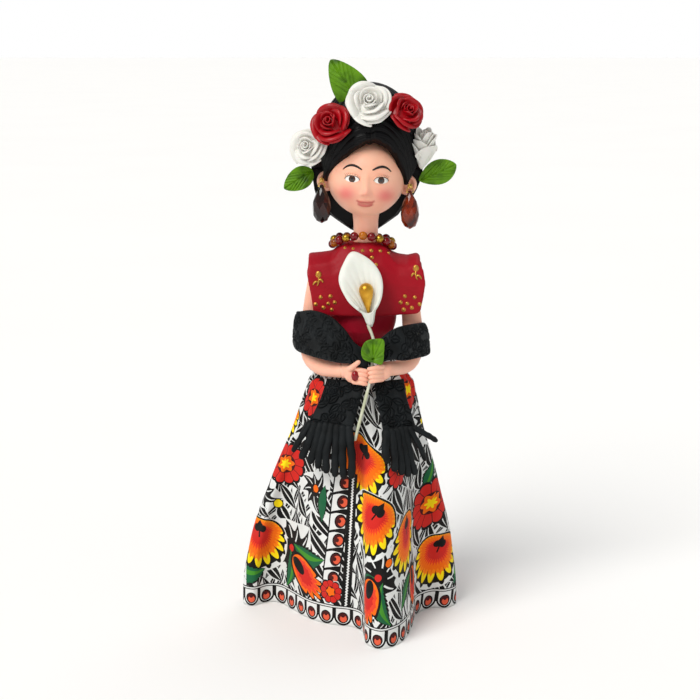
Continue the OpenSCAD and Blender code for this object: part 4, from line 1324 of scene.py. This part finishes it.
def leaf_blade(name, base, tip, half_w, side, bow, wide_at, seed):
    """Thick clay leaf with a carved middle vein and long carved side veins."""
    base, tip, side = (np.asarray(v, float) for v in (base, tip, side))
    side = unit(side)
    d = tip - base
    size = np.linalg.norm(d)
    nrm = unit(np.cross(d, side))
    m, n = 90, 61
    t = np.linspace(0, 1, m)[:, None] * np.ones(n)
    w = np.ones(m)[:, None] * np.linspace(-1, 1, n)
    power = math.log(0.5) / math.log(wide_at)
    width = np.maximum(half_w * np.sin(math.pi * np.clip(t, 0.002, 0.998) ** power) ** 0.62, 0.3)
    centre = base + t[..., None] * d + nrm * (bow * np.sin(math.pi * t))[..., None]
    x = w * width
    h = 0.2 * (width - np.abs(x)) * 0.6
    h = h - 0.75 * np.exp(-(x / 0.42) ** 2) * step(0.0, 0.06, t) * step(1.0, 0.93, t)
    for k in range(4):
        start = 0.06 + 0.19 * k
        run = (t - start) * size
        line = np.abs(x) - 0.62 * np.maximum(run, 0) ** 0.86
        groove = 0.5 * np.exp(-(line / 0.36) ** 2) * (run > 0)
        h = h - groove * step(1.0, 0.86, np.abs(w)) * step(1.0, 0.94, t)
    h = h + 0.4 * np.sin(t * 7 + seed + 2 * w) * np.abs(w) ** 2
    edge = np.sqrt(np.clip(1 - np.abs(w) ** 5, 0.02, 1))
    edge = edge * np.sqrt(np.clip(1 - np.abs(2 * t - 1) ** 14, 0.03, 1))
    outer = centre + side * x[..., None] + nrm * (h * edge)[..., None]
    inner = centre + side * (x * 0.985)[..., None] + nrm * (0.3 * h - 1.2 * edge)[..., None]
    parts = Parts()
    add_shell(parts, outer, inner)
    make(name + "_blade", parts, M_GREEN, replaces=(name,))


leaf_blade("leaf_top", (-0.5, -8.6, 269.5), (-15.6, -6.4, 290.2), 9.0, (-0.8, 0.1, -0.6), 1.2, 0.3, 1)
leaf_blade("leaf_left", (-25, -2.6, 234.6), (-39.4, -5.4, 225.4), 5.8, (0.55, 0, -0.85), 0.8, 0.42, 2)
leaf_blade("leaf_right", (29.6, -1.6, 229.2), (48.4, -3.2, 237.6), 6.4, (-0.45, 0, 0.9), 0.8, 0.55, 4)


# ---------------------------------------------------------------- ear drops

def drop(word, p, mat):
    """Cut-glass drop: eight sides, each ring turned half a step from the one above."""
    r, h = 4.75, 18.8
    at = arr(p[0], p[1], p[2] - 3.2)
    prof = [(0.9, 0.75), (1.2, -0.4), (1.9, -1.9), (0.72 * r, -0.24 * h), (0.94 * r, -0.42 * h),
            (1.0 * r, -0.6 * h), (0.9 * r, -0.78 * h), (0.62 * r, -0.92 * h)]
    n = 8
    rows = []
    for i, (q, z) in enumerate(prof):
        a = (np.arange(n) + 0.5 * (i % 2)) * 2 * math.pi / n + math.pi / 20
        rows.append(np.stack([q * np.cos(a), q * np.sin(a), np.full(n, z)], 1))
    verts = np.concatenate(rows + [arr([0, 0, 1.0]), arr([0, 0, -h])]).reshape(-1, 3)
    faces = []
    for i in range(len(prof) - 1):
        for j in range(n):
            k = (j + 1) % n
            a, b, c, d = i * n + j, i * n + k, (i + 1) * n + j, (i + 1) * n + k
            faces += ([(a, c, b), (b, c, d)] if i % 2 == 0 else [(a, c, d), (a, d, b)])
    top, low = len(prof) * n, len(prof) * n + 1
    faces += [(top, j, (j + 1) % n) for j in range(n)]
    last = (len(prof) - 1) * n
    faces += [(low, last + (j + 1) % n, last + j) for j in range(n)]
    parts = Parts()
    parts.add(verts + at, faces)
    make(f"ear_drop_{word}_cut", parts, mat, f"drop_{word}", (f"ear_drop_{word}",),
         smooth=False)


POST_L, POST_R = (-20.2, -9.8, 230.2), (24.7, -9.8, 227.2)
drop("left", POST_L, M_DROP)
# the right drop gets the brighter colour of painted glow
drop("right", POST_R, M_DROP_PAINTED_GLOW)


def bail(word, p):
    parts = Parts()
    p = np.array(p)
    ring = [p + arr(0.95 * math.cos(t), 0, 0.95 * math.sin(t)) for t in full_turn(24)]
    add_tube(parts, ring, 0.3, 8, closed=True)
    for s in (-1, 1):
        leg = spline([p + arr(s * 0.6, 0, -0.9), p + arr(s * 1.3, 0, -1.5), p + arr(s * 1.6, 0, -2.4),
                      p + arr(s * 1.6, 0, -3.2)], 5)
        add_tube(parts, leg, 0.26, 8)
    add_tube(parts, [p + arr(-1.7, 0, -3.2), p + arr(0, 0, -3.2), p + arr(1.7, 0, -3.2)], 0.3, 10)
    make(f"ear_bail_{word}_wire", parts, M_WIRE, f"bail_{word}", (f"ear_bail_{word}",))
    post = Parts()
    add_tube(post, [p + arr(0, y, 0) for y in (8.5, 4, 0, -1.8)], 0.38, 10)
    add_ball(post, p + arr(0, -2.1, 0), 0.75, 10)
    add_tube(post, [p + arr(0, 1.9, 0), p + arr(0, 1.3, 0)], 0.8, 12)
    make(f"ear_post_{word}_wire", post, M_WIRE, "doll", (f"ear_post_{word}",))


bail("left", POST_L)
bail("right", POST_R)


# ---------------------------------------------------------------- necklace

def string_at(a):
    f, s, c = max(0, math.cos(a)), math.sin(a), math.cos(a)
    return arr(0.8 + 15.6 * s, 0.4 - 11.6 * c,
               196.2 + 5.8 * f ** 1.5 - max(0, s) + 6 * abs(s) * max(0, -c))


def necklace():
    fine = np.array([string_at(a) for a in np.linspace(0, 2 * math.pi, 721)])
    d = distances(fine)
    groups = {"burgundy": Parts(), "amber": Parts()}
    beads = 20
    for i in range(beads):
        s = d[-1] * i / beads
        p = np.array([np.interp(s, d, fine[:, k]) for k in range(3)])
        q = np.array([np.interp((s + 0.4) % d[-1], d, fine[:, k]) for k in range(3)])
        t = unit(q - p)
        r = 2.28 * (0.98 + 0.03 * math.sin(i * 2.3))
        prof = [(0.5, -0.93 * r), (0.62, -0.97 * r)]
        prof += [(r * math.sin(x), -r * math.cos(x)) for x in np.linspace(0.42, math.pi - 0.42, 17)]
        prof += [(0.62, 0.97 * r), (0.5, 0.93 * r)]
        if i % 2:
            add_revolve(groups["burgundy"], prof, p, t, 28)
        else:
            # four of the amber places hold a golden bead
            add_revolve(groups["amber"], prof, p, t, 28, 1 if i in (2, 18, 6, 14) else 0)
    for word, mats in (("burgundy", M_BURGUNDY), ("amber", [M_AMBER, M_OLIVE])):
        make(f"beads_{word}_glass", groups[word], mats, replaces=(f"beads_{word}",))
    parts = Parts()
    add_tube(parts, fine[:-1:4], 0.28, 8, closed=True)
    make("necklace_cord", parts, M_THREAD, replaces=("necklace_thread",))


necklace()


# ---------------------------------------------------------------- arms and hands

FINGER = [1.3, 1.22, 1.12, 0.95]
FINGER_STEP = 2.2


def limb(parts, pts, radii):
    path = along(spline(pts, 8), 30)
    r = np.interp(np.linspace(0, 1, 30), np.linspace(0, 1, len(radii)), radii)
    add_tube(parts, path, r, 28)


def arm_left():
    p = Parts()
    limb(p, [(-22, -1, 183.5), (-25, -2.5, 165), (-26.6, -5, 148), (-25.6, -8.6, 138.6), (-21, -15.5, 135),
             (-15, -23, 134.8), (-9, -29.6, 135.7), (-5.6, -32.6, 136)],
         [4.5, 4.7, 4.9, 5.3, 5.1, 4.5, 3.8, 3.9])
    add_ball(p, (-4.0, -34, 134.6), 1, 14, squash=(4.8, 2.9, 4.5))
    for i in range(4):
        z = 137.6 - FINGER_STEP * i
        limb(p, [(-3.8, -35.4, z), (-0.8, -37.7, z + 0.1), (1.9 - 0.25 * i, -38.3, z - 0.3),
                 (3.5 - 0.35 * i, -37.3, z - 0.6)], FINGER)
    limb(p, [(-6, -34.8, 137.4), (-4.6, -37, 139), (-3.1, -38.2, 140.6), (-1.6, -38.9, 141.9)],
         [1.9, 1.55, 1.3, 1.15])

    def crease(v):
        """Soft crease round the wrist."""
        x, y = v[:, 0], v[:, 1]
        k = 0.35 * np.exp(-((x + 10.2) / 0.4) ** 2) * (y < -26)
        c = np.stack([x, np.interp(x, [-15, -5], [-23, -32.6]), np.full_like(x, 135.6)], 1)
        d = v - c
        d[:, 0] = 0
        return v - units(d) * k[:, None]

    fused("arm_left_skin", p, 0.24, 3, M_SKIN, "arm_left", edit=crease)


def arm_right():
    p = Parts()
    limb(p, [(23.5, -1, 183.5), (25.6, -2.5, 165), (27, -5.6, 148), (26.2, -9.6, 138.6), (22.6, -16, 135.6),
             (17.6, -23.6, 135.6), (13.8, -29.6, 136.6), (12, -32, 136.9)],
         [4.5, 4.7, 4.9, 5.3, 5.0, 4.4, 3.7, 3.8])
    add_ball(p, (10.8, -33.3, 135.8), 1, 14, squash=(4.4, 2.9, 4.4))
    for i in range(4):
        z = 139.0 - FINGER_STEP * i
        limb(p, [(10.6, -35.2, z), (8.0, -38.2, z + 0.1), (5.4 + 0.1 * i, -39.3, z - 0.2),
                 (3.6 + 0.3 * i, -38.9, z - 0.5)], FINGER)
    fused("arm_right_skin", p, 0.24, 3, M_SKIN, "arm_right")


arm_left()
arm_right()


def ring():
    parts = Parts()
    profile = [(0, -0.6), (1.75, -0.6), (1.95, 0.0), (1.9, 0.5), (1.6, 1.05), (1.05, 1.5), (0.5, 1.72),
               (0, 1.76)]
    add_revolve(parts, profile, (0, 0, 0), (0, -1, 0), 40)
    v = parts.v[0]
    v[:, 2] *= 1.35
    v += arr(-3.2, -37.6, 134.6)
    make("ring_stone_cut", parts, M_RING, replaces=("ring_stone",))


ring()


# ---------------------------------------------------------------- shawl

def pressed(u, v, seed, wide, tall, pitch):
    """Depth of the stamped leaves and flowers at a place on the sheet, in mm."""
    jig = random.Random(seed)
    h = np.zeros_like(u)
    motifs = []
    rows = max(1, round(tall / pitch))
    cols = max(1, round(wide / pitch))
    for i in range(rows):
        for j in range(cols):
            cx = (j + 0.5 + 0.5 * (i % 2) - 0.25) * wide / cols + jig.uniform(-0.7, 0.7)
            cy = (i + 0.5) * tall / rows + jig.uniform(-0.7, 0.7)
            a0 = jig.uniform(0, 6.28)
            if (i + j) % 3 == 0:
                motifs += [(cx, cy, a0 + k * 2 * math.pi / 5, 4.6, 1.5, 0.8) for k in range(5)]
            else:
                motifs += [(cx, cy, a0 + k * 1.25, 6.2, 1.9, 0.3) for k in (-1, 0, 1)]
    for cx, cy, a, length, half, gap in motifs:
        x = (u - cx) * math.cos(a) + (v - cy) * math.sin(a)
        y = -(u - cx) * math.sin(a) + (v - cy) * math.cos(a)
        t = np.clip((x - gap) / length, 0, 1)
        w = half * np.sin(math.pi * t ** 0.85)
        inside = (x > gap) & (x < gap + length)
        line = np.exp(-((np.abs(y) - w) / 0.42) ** 2) * inside
        vein = 0.8 * np.exp(-(y / 0.3) ** 2) * inside * step(0.05, 0.25, t) * step(0.95, 0.7, t)
        h = np.maximum(h, np.maximum(line, vein))
    return h


def wrap(name, path, seed, lean=0.0):
    """Folded band round an elbow. Stations are x, y, lower z, upper z."""
    thick = 2.8
    st = along(spline(path, 10), 330)
    p = st[:, :2]
    t = units(np.gradient(p, axis=0))
    out = np.stack([t[:, 1], -t[:, 0]], 1)
    length = distances(p)
    n = 150
    # rounded-slab section with even steps: e runs over its height, b over its thickness
    fine = np.linspace(0, 2 * math.pi, 6001)
    tall = float(np.mean(st[:, 3] - st[:, 2])) / 2
    e = np.sign(np.sin(fine)) * np.abs(np.sin(fine)) ** 0.36
    b = np.sign(np.cos(fine)) * np.abs(np.cos(fine)) ** 0.5
    run = np.r_[0, np.cumsum(np.hypot(np.diff(e) * tall, np.diff(b) * thick / 2))]
    at = np.linspace(0, run[-1], n + 1)[:-1]
    e, b = np.interp(at, run, e), np.interp(at, run, b)
    rows = []
    for i in range(len(st)):
        x, y, lo, hi = st[i]
        mid, half = (lo + hi) / 2, (hi - lo) / 2
        f = (1 - e) / 2
        belly = 0.7 * np.sin(math.pi * f) - lean * (1 - f)
        # both ends are rounded off over the last 1.6 mm
        gaps = (length[i] / 1.6, (length[-1] - length[i]) / 1.6)
        endcap = math.prod(math.sqrt(max(0.02, 1 - max(0, 1 - gap) ** 2)) for gap in gaps)
        u = np.full(n, length[i])
        v = (e + 1) * half
        dent = 1.1 * pressed(u, v, seed, length[-1], 2 * half, 9.0) * (b > 0.2) * step(0.99, 0.88, np.abs(e))
        off = belly + b * thick / 2 * endcap - dent
        fold = 0.35 * math.sin(length[i] * 0.33) * np.sin(math.pi * f * 2)
        rows.append(np.stack([x + out[i, 0] * (off + fold), y + out[i, 1] * (off + fold),
                              mid + e * half * (0.93 + 0.07 * endcap)], 1))
    parts = Parts()
    add_capped(parts, np.array(rows))
    make(name + "_sheet", parts, M_SHAWL, replaces=(name,))


wrap("shawl_wrap_left", [
    (-28, 15, 137.6, 149.5), (-33, 7.5, 140.6, 156.5), (-34.4, -2, 142.6, 161.0), (-32.6, -10, 141.8, 162.6),
    (-27.4, -18.4, 141.4, 164.6), (-21.4, -25.6, 141.2, 164.6), (-15.6, -31.0, 140.8, 162.8),
    (-9.4, -34.8, 140.6, 157.8), (-4.4, -36.4, 140.4, 151.8), (-0.6, -36.4, 138.8, 149.2),
    (3.4, -35.4, 137.6, 147.6)], 3, lean=1.6)
wrap("shawl_wrap_right", [
    (8.2, -36.0, 140.6, 151.4), (14.8, -34.6, 142.2, 156), (21.4, -30.6, 141.0, 158),
    (28.4, -21.4, 140.4, 157.8), (33.0, -12.4, 139.6, 156.8), (35.2, -4, 139.4, 155.6), (33.4, 6, 139.6, 153),
    (28, 15, 137.6, 149.5)], 5, lean=3.0)
wrap("shawl_back", [
    (28, 15, 137.6, 149.5), (15, 18.4, 136.8, 147.6), (0, 19.4, 136.6, 147.4), (-15, 18.4, 136.8, 147.6),
    (-28, 15, 137.6, 149.5)], 9)


def shawl_end(name, rows_lr, tips, seed):
    """Hanging end with stamped leaves, and thick rolled fringe strands below it."""
    r = np.asarray(rows_lr, float)
    m, n = 170, 150
    left = along(spline(r[:, 0], 10), m)
    right = along(spline(r[:, 1], 10), m)
    w = np.linspace(0, 1, n)
    g = left[:, None] * (1 - w)[None, :, None] + right[:, None] * w[None, :, None]
    back = unit(np.cross(r[0, 1] - r[0, 0], r[3, 0] - r[0, 0]))
    down = np.linspace(0, 1, m)[:, None] * np.ones(n)
    ww = np.ones(m)[:, None] * w
    wave = 0.7 * np.sin(3 * math.pi * ww) + 0.25 * np.sin(7 * ww + 5 * down)
    g[:, :, 1] -= wave
    wide = np.linalg.norm(r[0, 1] - r[0, 0])
    tall = np.linalg.norm(r[3, 0] - r[0, 0])
    dent = pressed(ww * wide, down * tall, seed, wide, tall, 8.0) * step(0, 0.03, ww) * step(1, 0.97, ww)
    edge = np.sqrt(np.clip(1 - np.abs(2 * ww - 1) ** 14, 0.03, 1))
    edge = edge * np.sqrt(np.clip(1 - np.abs(2 * down - 1) ** 16, 0.05, 1))
    outer = g - back * (0.95 * edge - dent)[..., None]
    inner = g + back * (0.95 * edge)[..., None]
    parts = Parts()
    add_shell(parts, outer, inner)
    make(name + "_sheet", parts, M_SHAWL, replaces=(name,))
    fringe = Parts()
    jig = random.Random(seed)
    k = len(tips)
    for i, tip in enumerate(tips):
        f = (i + 0.5) / k
        a = r[3, 0] * (1 - f) + r[3, 1] * f + arr(0, -0.7 * math.sin(3 * math.pi * f), 1.6)
        b = np.asarray(tip, float)
        d = b - a
        sway = jig.uniform(-1.2, 1.2)
        pts = [a, a + d * 0.3 + arr(sway * 0.4, -0.9, 0.2), a + d * 0.62 + arr(sway, -1.2, 0.3),
               b + arr(0, -0.6, 0.6)]
        path = along(spline(pts, 8), 34)
        s = np.linspace(0, 1, 34)
        rad = 2.2 * (1 - 0.14 * s) * (1 + 0.06 * np.sin(s * 19 + i * 2.4))
        rad = rad * np.interp(s, [0, 0.93, 1], [1, 1, 0.85])
        add_tube(fringe, path, rad, 18, flat=0.72)
    side = name.split("_")[-1]
    make(f"fringe_{side}_strands", fringe, M_SHAWL, replaces=(f"fringe_{side}",))


shawl_end("shawl_end_left", [
    [(-17.5, -23.6, 130.4), (2.4, -31, 129.6)], [(-20.4, -26, 121.6), (-0.4, -33.2, 121.6)],
    [(-24, -28.4, 114), (-2.6, -35.4, 113.6)], [(-28, -30.6, 107), (-5, -37.4, 106)]],
    [(-34.6, -32.6, 94.4), (-30.4, -34.2, 91.0), (-26.2, -35.4, 88.8), (-22.0, -36.6, 86.8),
     (-17.8, -38, 84.6), (-13.4, -39, 83.0), (-9.0, -40, 82.4), (-5.0, -40.8, 82.6)], 12)
shawl_end("shawl_end_right", [
    [(6.6, -31, 129.6), (21.6, -24.4, 130.4)], [(7.6, -34, 121.6), (23, -26.6, 121.6)],
    [(9.6, -36.6, 113), (25.6, -28.4, 113)], [(11.2, -39, 104.4), (28.4, -30, 104.4)]],
    [(13, -42.4, 91), (16.8, -41, 86.4), (20.4, -39.2, 84), (23.8, -37.2, 82.6), (27.2, -34.8, 82.8),
     (32.4, -30, 89), (38, -26.4, 98)], 21)


# ---------------------------------------------------------------- calla lily

def calla_spathe():
    lip = along(spline([
        (-11, -25, 181), (-7.6, -27.6, 173), (-1.2, -29.2, 167.4), (3.8, -29.6, 165.6), (7.6, -28.6, 169.4),
        (10, -26.4, 176), (9.4, -24.6, 183.4), (4.4, -22.4, 190.4), (-4.2, -21, 194.6),
        (-8.8, -22.6, 189)], 12, True), 121)[:-1]
    n = len(lip)
    a = np.radians(174 + 360 * np.arange(n) / n)
    foot = arr(4.3, -27, 158.0)
    rows = []
    ts = np.linspace(1, 0, 46)
    mid = lip.mean(0)
    for t in ts:
        g = t ** 1.7
        tube = 1.35 + 0.75 * float(step(0, 0.16, t))
        low = np.stack([foot[0] + tube * np.cos(a), foot[1] + tube * np.sin(a), np.full(n, foot[2])], 1)
        row = low + (lip - low) * arr(g, g, t)
        # the lip rolls a little outwards and forwards
        roll = float(step(0.86, 1.0, t))
        away = row - mid
        away[:, 1] = 0
        row = row + units(away) * 0.5 * roll + arr(0, 0.9, 0) * roll ** 2
        # faint ribs that run up the flower
        row[:, 1] += 0.12 * np.sin(a * 14) * math.sin(math.pi * t)
        rows.append(row)
    g = np.array(rows)
    du = np.roll(g, -1, 1) - np.roll(g, 1, 1)
    dv = np.gradient(g, axis=0)
    nn = units(np.cross(du, dv))
    centre = g.mean(1, keepdims=True)
    if ((g - centre) * nn).sum() > 0:
        nn = -nn
    thick = 0.85 * np.ones(len(ts))
    thick[:3] = (0.35, 0.6, 0.8)
    inner = g + nn * thick[:, None, None]
    parts = Parts()
    add_shell(parts, g, inner, True)
    make("calla_spathe_petal", parts, M_CALLA, replaces=("calla_spathe",))


def calla_spadix():
    prof = spline([(0.5, 0), (1.2, 3), (2.1, 6), (3.2, 9.2), (3.65, 11.8), (3.2, 14.0), (1.9, 15.4),
                   (0.05, 16.0)], 6)
    parts = Parts()
    ax = Matrix.Rotation(math.radians(-3), 3, "X")
    axis = np.array(Matrix.Rotation(math.radians(-6), 3, "Y") @ ax @ Vector((0, 0, 1)))
    add_revolve(parts, prof, (3.6, -27.0, 164.2), axis, 40)
    make("calla_spadix_gold", parts, M_SPADIX, replaces=("calla_spadix",))


def calla_stem():
    path = along(spline([(3.4, -27.4, 158.5), (6.2, -31, 151), (5.8, -34.6, 143), (4.6, -36.4, 136),
                         (3.3, -37, 128), (-0.4, -37.6, 113), (-3.2, -37, 101.5)], 8), 60)
    parts = Parts()
    add_tube(parts, path, 0.8 + 0.04 * np.sin(np.arange(60) * 0.9), 16)
    make("calla_stem_wire", parts, M_STEM, replaces=("calla_stem",))


def calla_leaf():
    """Round leaf, folded a little along its middle."""
    out = spline([(0.6, -6.2), (4.6, -6.6), (5.4, -0.4), (5.2, 5.6), (0.6, 6.2), (-4, 4.8), (-6, 0.4),
                  (-4.8, -4.0)], 12, True)
    f = np.linspace(0.02, 1, 30)[:, None]
    x, z = f * out[:, 0], f * out[:, 1]
    ang = np.arctan2(z + 4.5, x + 0.001)
    vein = 0.8 * np.exp(-(x / 0.4) ** 2)
    for k in (0.35, 0.75, 1.15, 1.95, 2.4, 2.8):
        vein = vein + 0.55 * np.exp(-((ang - k) * np.hypot(x, z + 4.5) / 0.4) ** 2) * (z > -4.4)
    h = 0.5 - 1.1 * step(0.6, 0.9, x - 0.25 * z) * (x / 5) + 0.16 * np.abs(x)
    h = h + 0.25 * np.sin(2 * np.arctan2(z, x) + 1) * f ** 2 - vein * step(1.0, 0.9, f)
    edge = np.sqrt(np.clip(1 - f ** 8, 0.05, 1))
    at = arr(5.8, -38.4, 147.6)
    outer = np.stack([x, -0.7 - h * 0.8 - 0.5 * edge + 0.5, z], -1) + at
    inner = np.stack([x, -0.7 - h * 0.8 + 0.6 * edge + 0.5, z], -1) + at
    parts = Parts()
    add_shell(parts, outer, inner, True)
    # the middle of the front is closed by one face
    parts.f.append(tuple(range(len(out))))
    parts.m.append(0)
    make("calla_leaf_blade", parts, M_GREEN, replaces=("calla_leaf",))


calla_spathe()
calla_spadix()
calla_stem()
calla_leaf()


# ---------------------------------------------------------------- carried-over CAD nodes

def repaint(node, mat):
    o = NODES[node]
    o.data.materials.clear()
    o.data.materials.append(mat)


repaint("base_disc", M_BOARD)
repaint("card_cone", M_CARD)
repaint("spine_dowel", M_DOWEL)


# ---------------------------------------------------------------- floor, lights, camera

def studio():
    scene = bpy.context.scene
    scene.view_settings.view_transform = "Standard"
    me = bpy.data.meshes.new("floor")
    me.from_pydata([(-60, -60, 0), (60, -60, 0), (60, 60, 0), (-60, 60, 0)], [], [(0, 1, 2, 3)])
    net = Net("floor_paper")
    tone = net.map(net.noise(3, 3), 0.3, 0.7, 0, 0.3)
    net.set(colour=net.mix(tone, rgb(252, 252, 251), rgb(248, 248, 247)), rough=0.9)
    me.materials.append(net.mat)
    floor = new_object("floor", me)
    world = bpy.data.worlds.new("Studio")
    scene.world = world
    world.use_nodes = True
    # white band round the horizon, softer white above
    tree = world.node_tree
    sky = tree.nodes.new("ShaderNodeTexCoord")
    split = tree.nodes.new("ShaderNodeSeparateXYZ")
    ramp = tree.nodes.new("ShaderNodeValToRGB")
    tree.links.new(sky.outputs["Generated"], split.inputs[0])
    tree.links.new(split.outputs[2], ramp.inputs[0])
    ramp.color_ramp.elements[0].position = 0.06
    ramp.color_ramp.elements[0].color = (1, 1, 1, 1)
    ramp.color_ramp.elements[1].position = 0.1
    ramp.color_ramp.elements[1].color = (0.4, 0.4, 0.4, 1)
    tree.links.new(ramp.outputs[0], tree.nodes["Background"].inputs[0])
    for name, turn, tilt, angle, power, colour in (
            ("key", -40, 46, 34, 2.25, (1.0, 0.98, 0.95)),
            ("top", 150, 66, 30, 0.5, (1.0, 1.0, 1.0))):
        light = bpy.data.lights.new(name, "SUN")
        light.energy = power
        light.angle = math.radians(angle)
        light.color = colour
        o = new_object(name, light)
        o.location = (0, 0, 1)
        a, b = math.radians(turn), math.radians(tilt)
        to = Vector((-math.sin(a) * math.cos(b), math.cos(a) * math.cos(b), -math.sin(b)))
        o.rotation_euler = to.to_track_quat("-Z", "Y").to_euler()
    cam = bpy.data.cameras.new("camera")
    cam.lens = 79.97
    cam.sensor_width = 36
    cam.clip_start = 0.05
    cam.clip_end = 20
    o = new_object("camera", cam)
    o.location = (-0.0058, -0.800, 0.303)
    o.rotation_euler = (math.radians(90 - 11.5), 0, 0)
    scene.camera = o


studio()
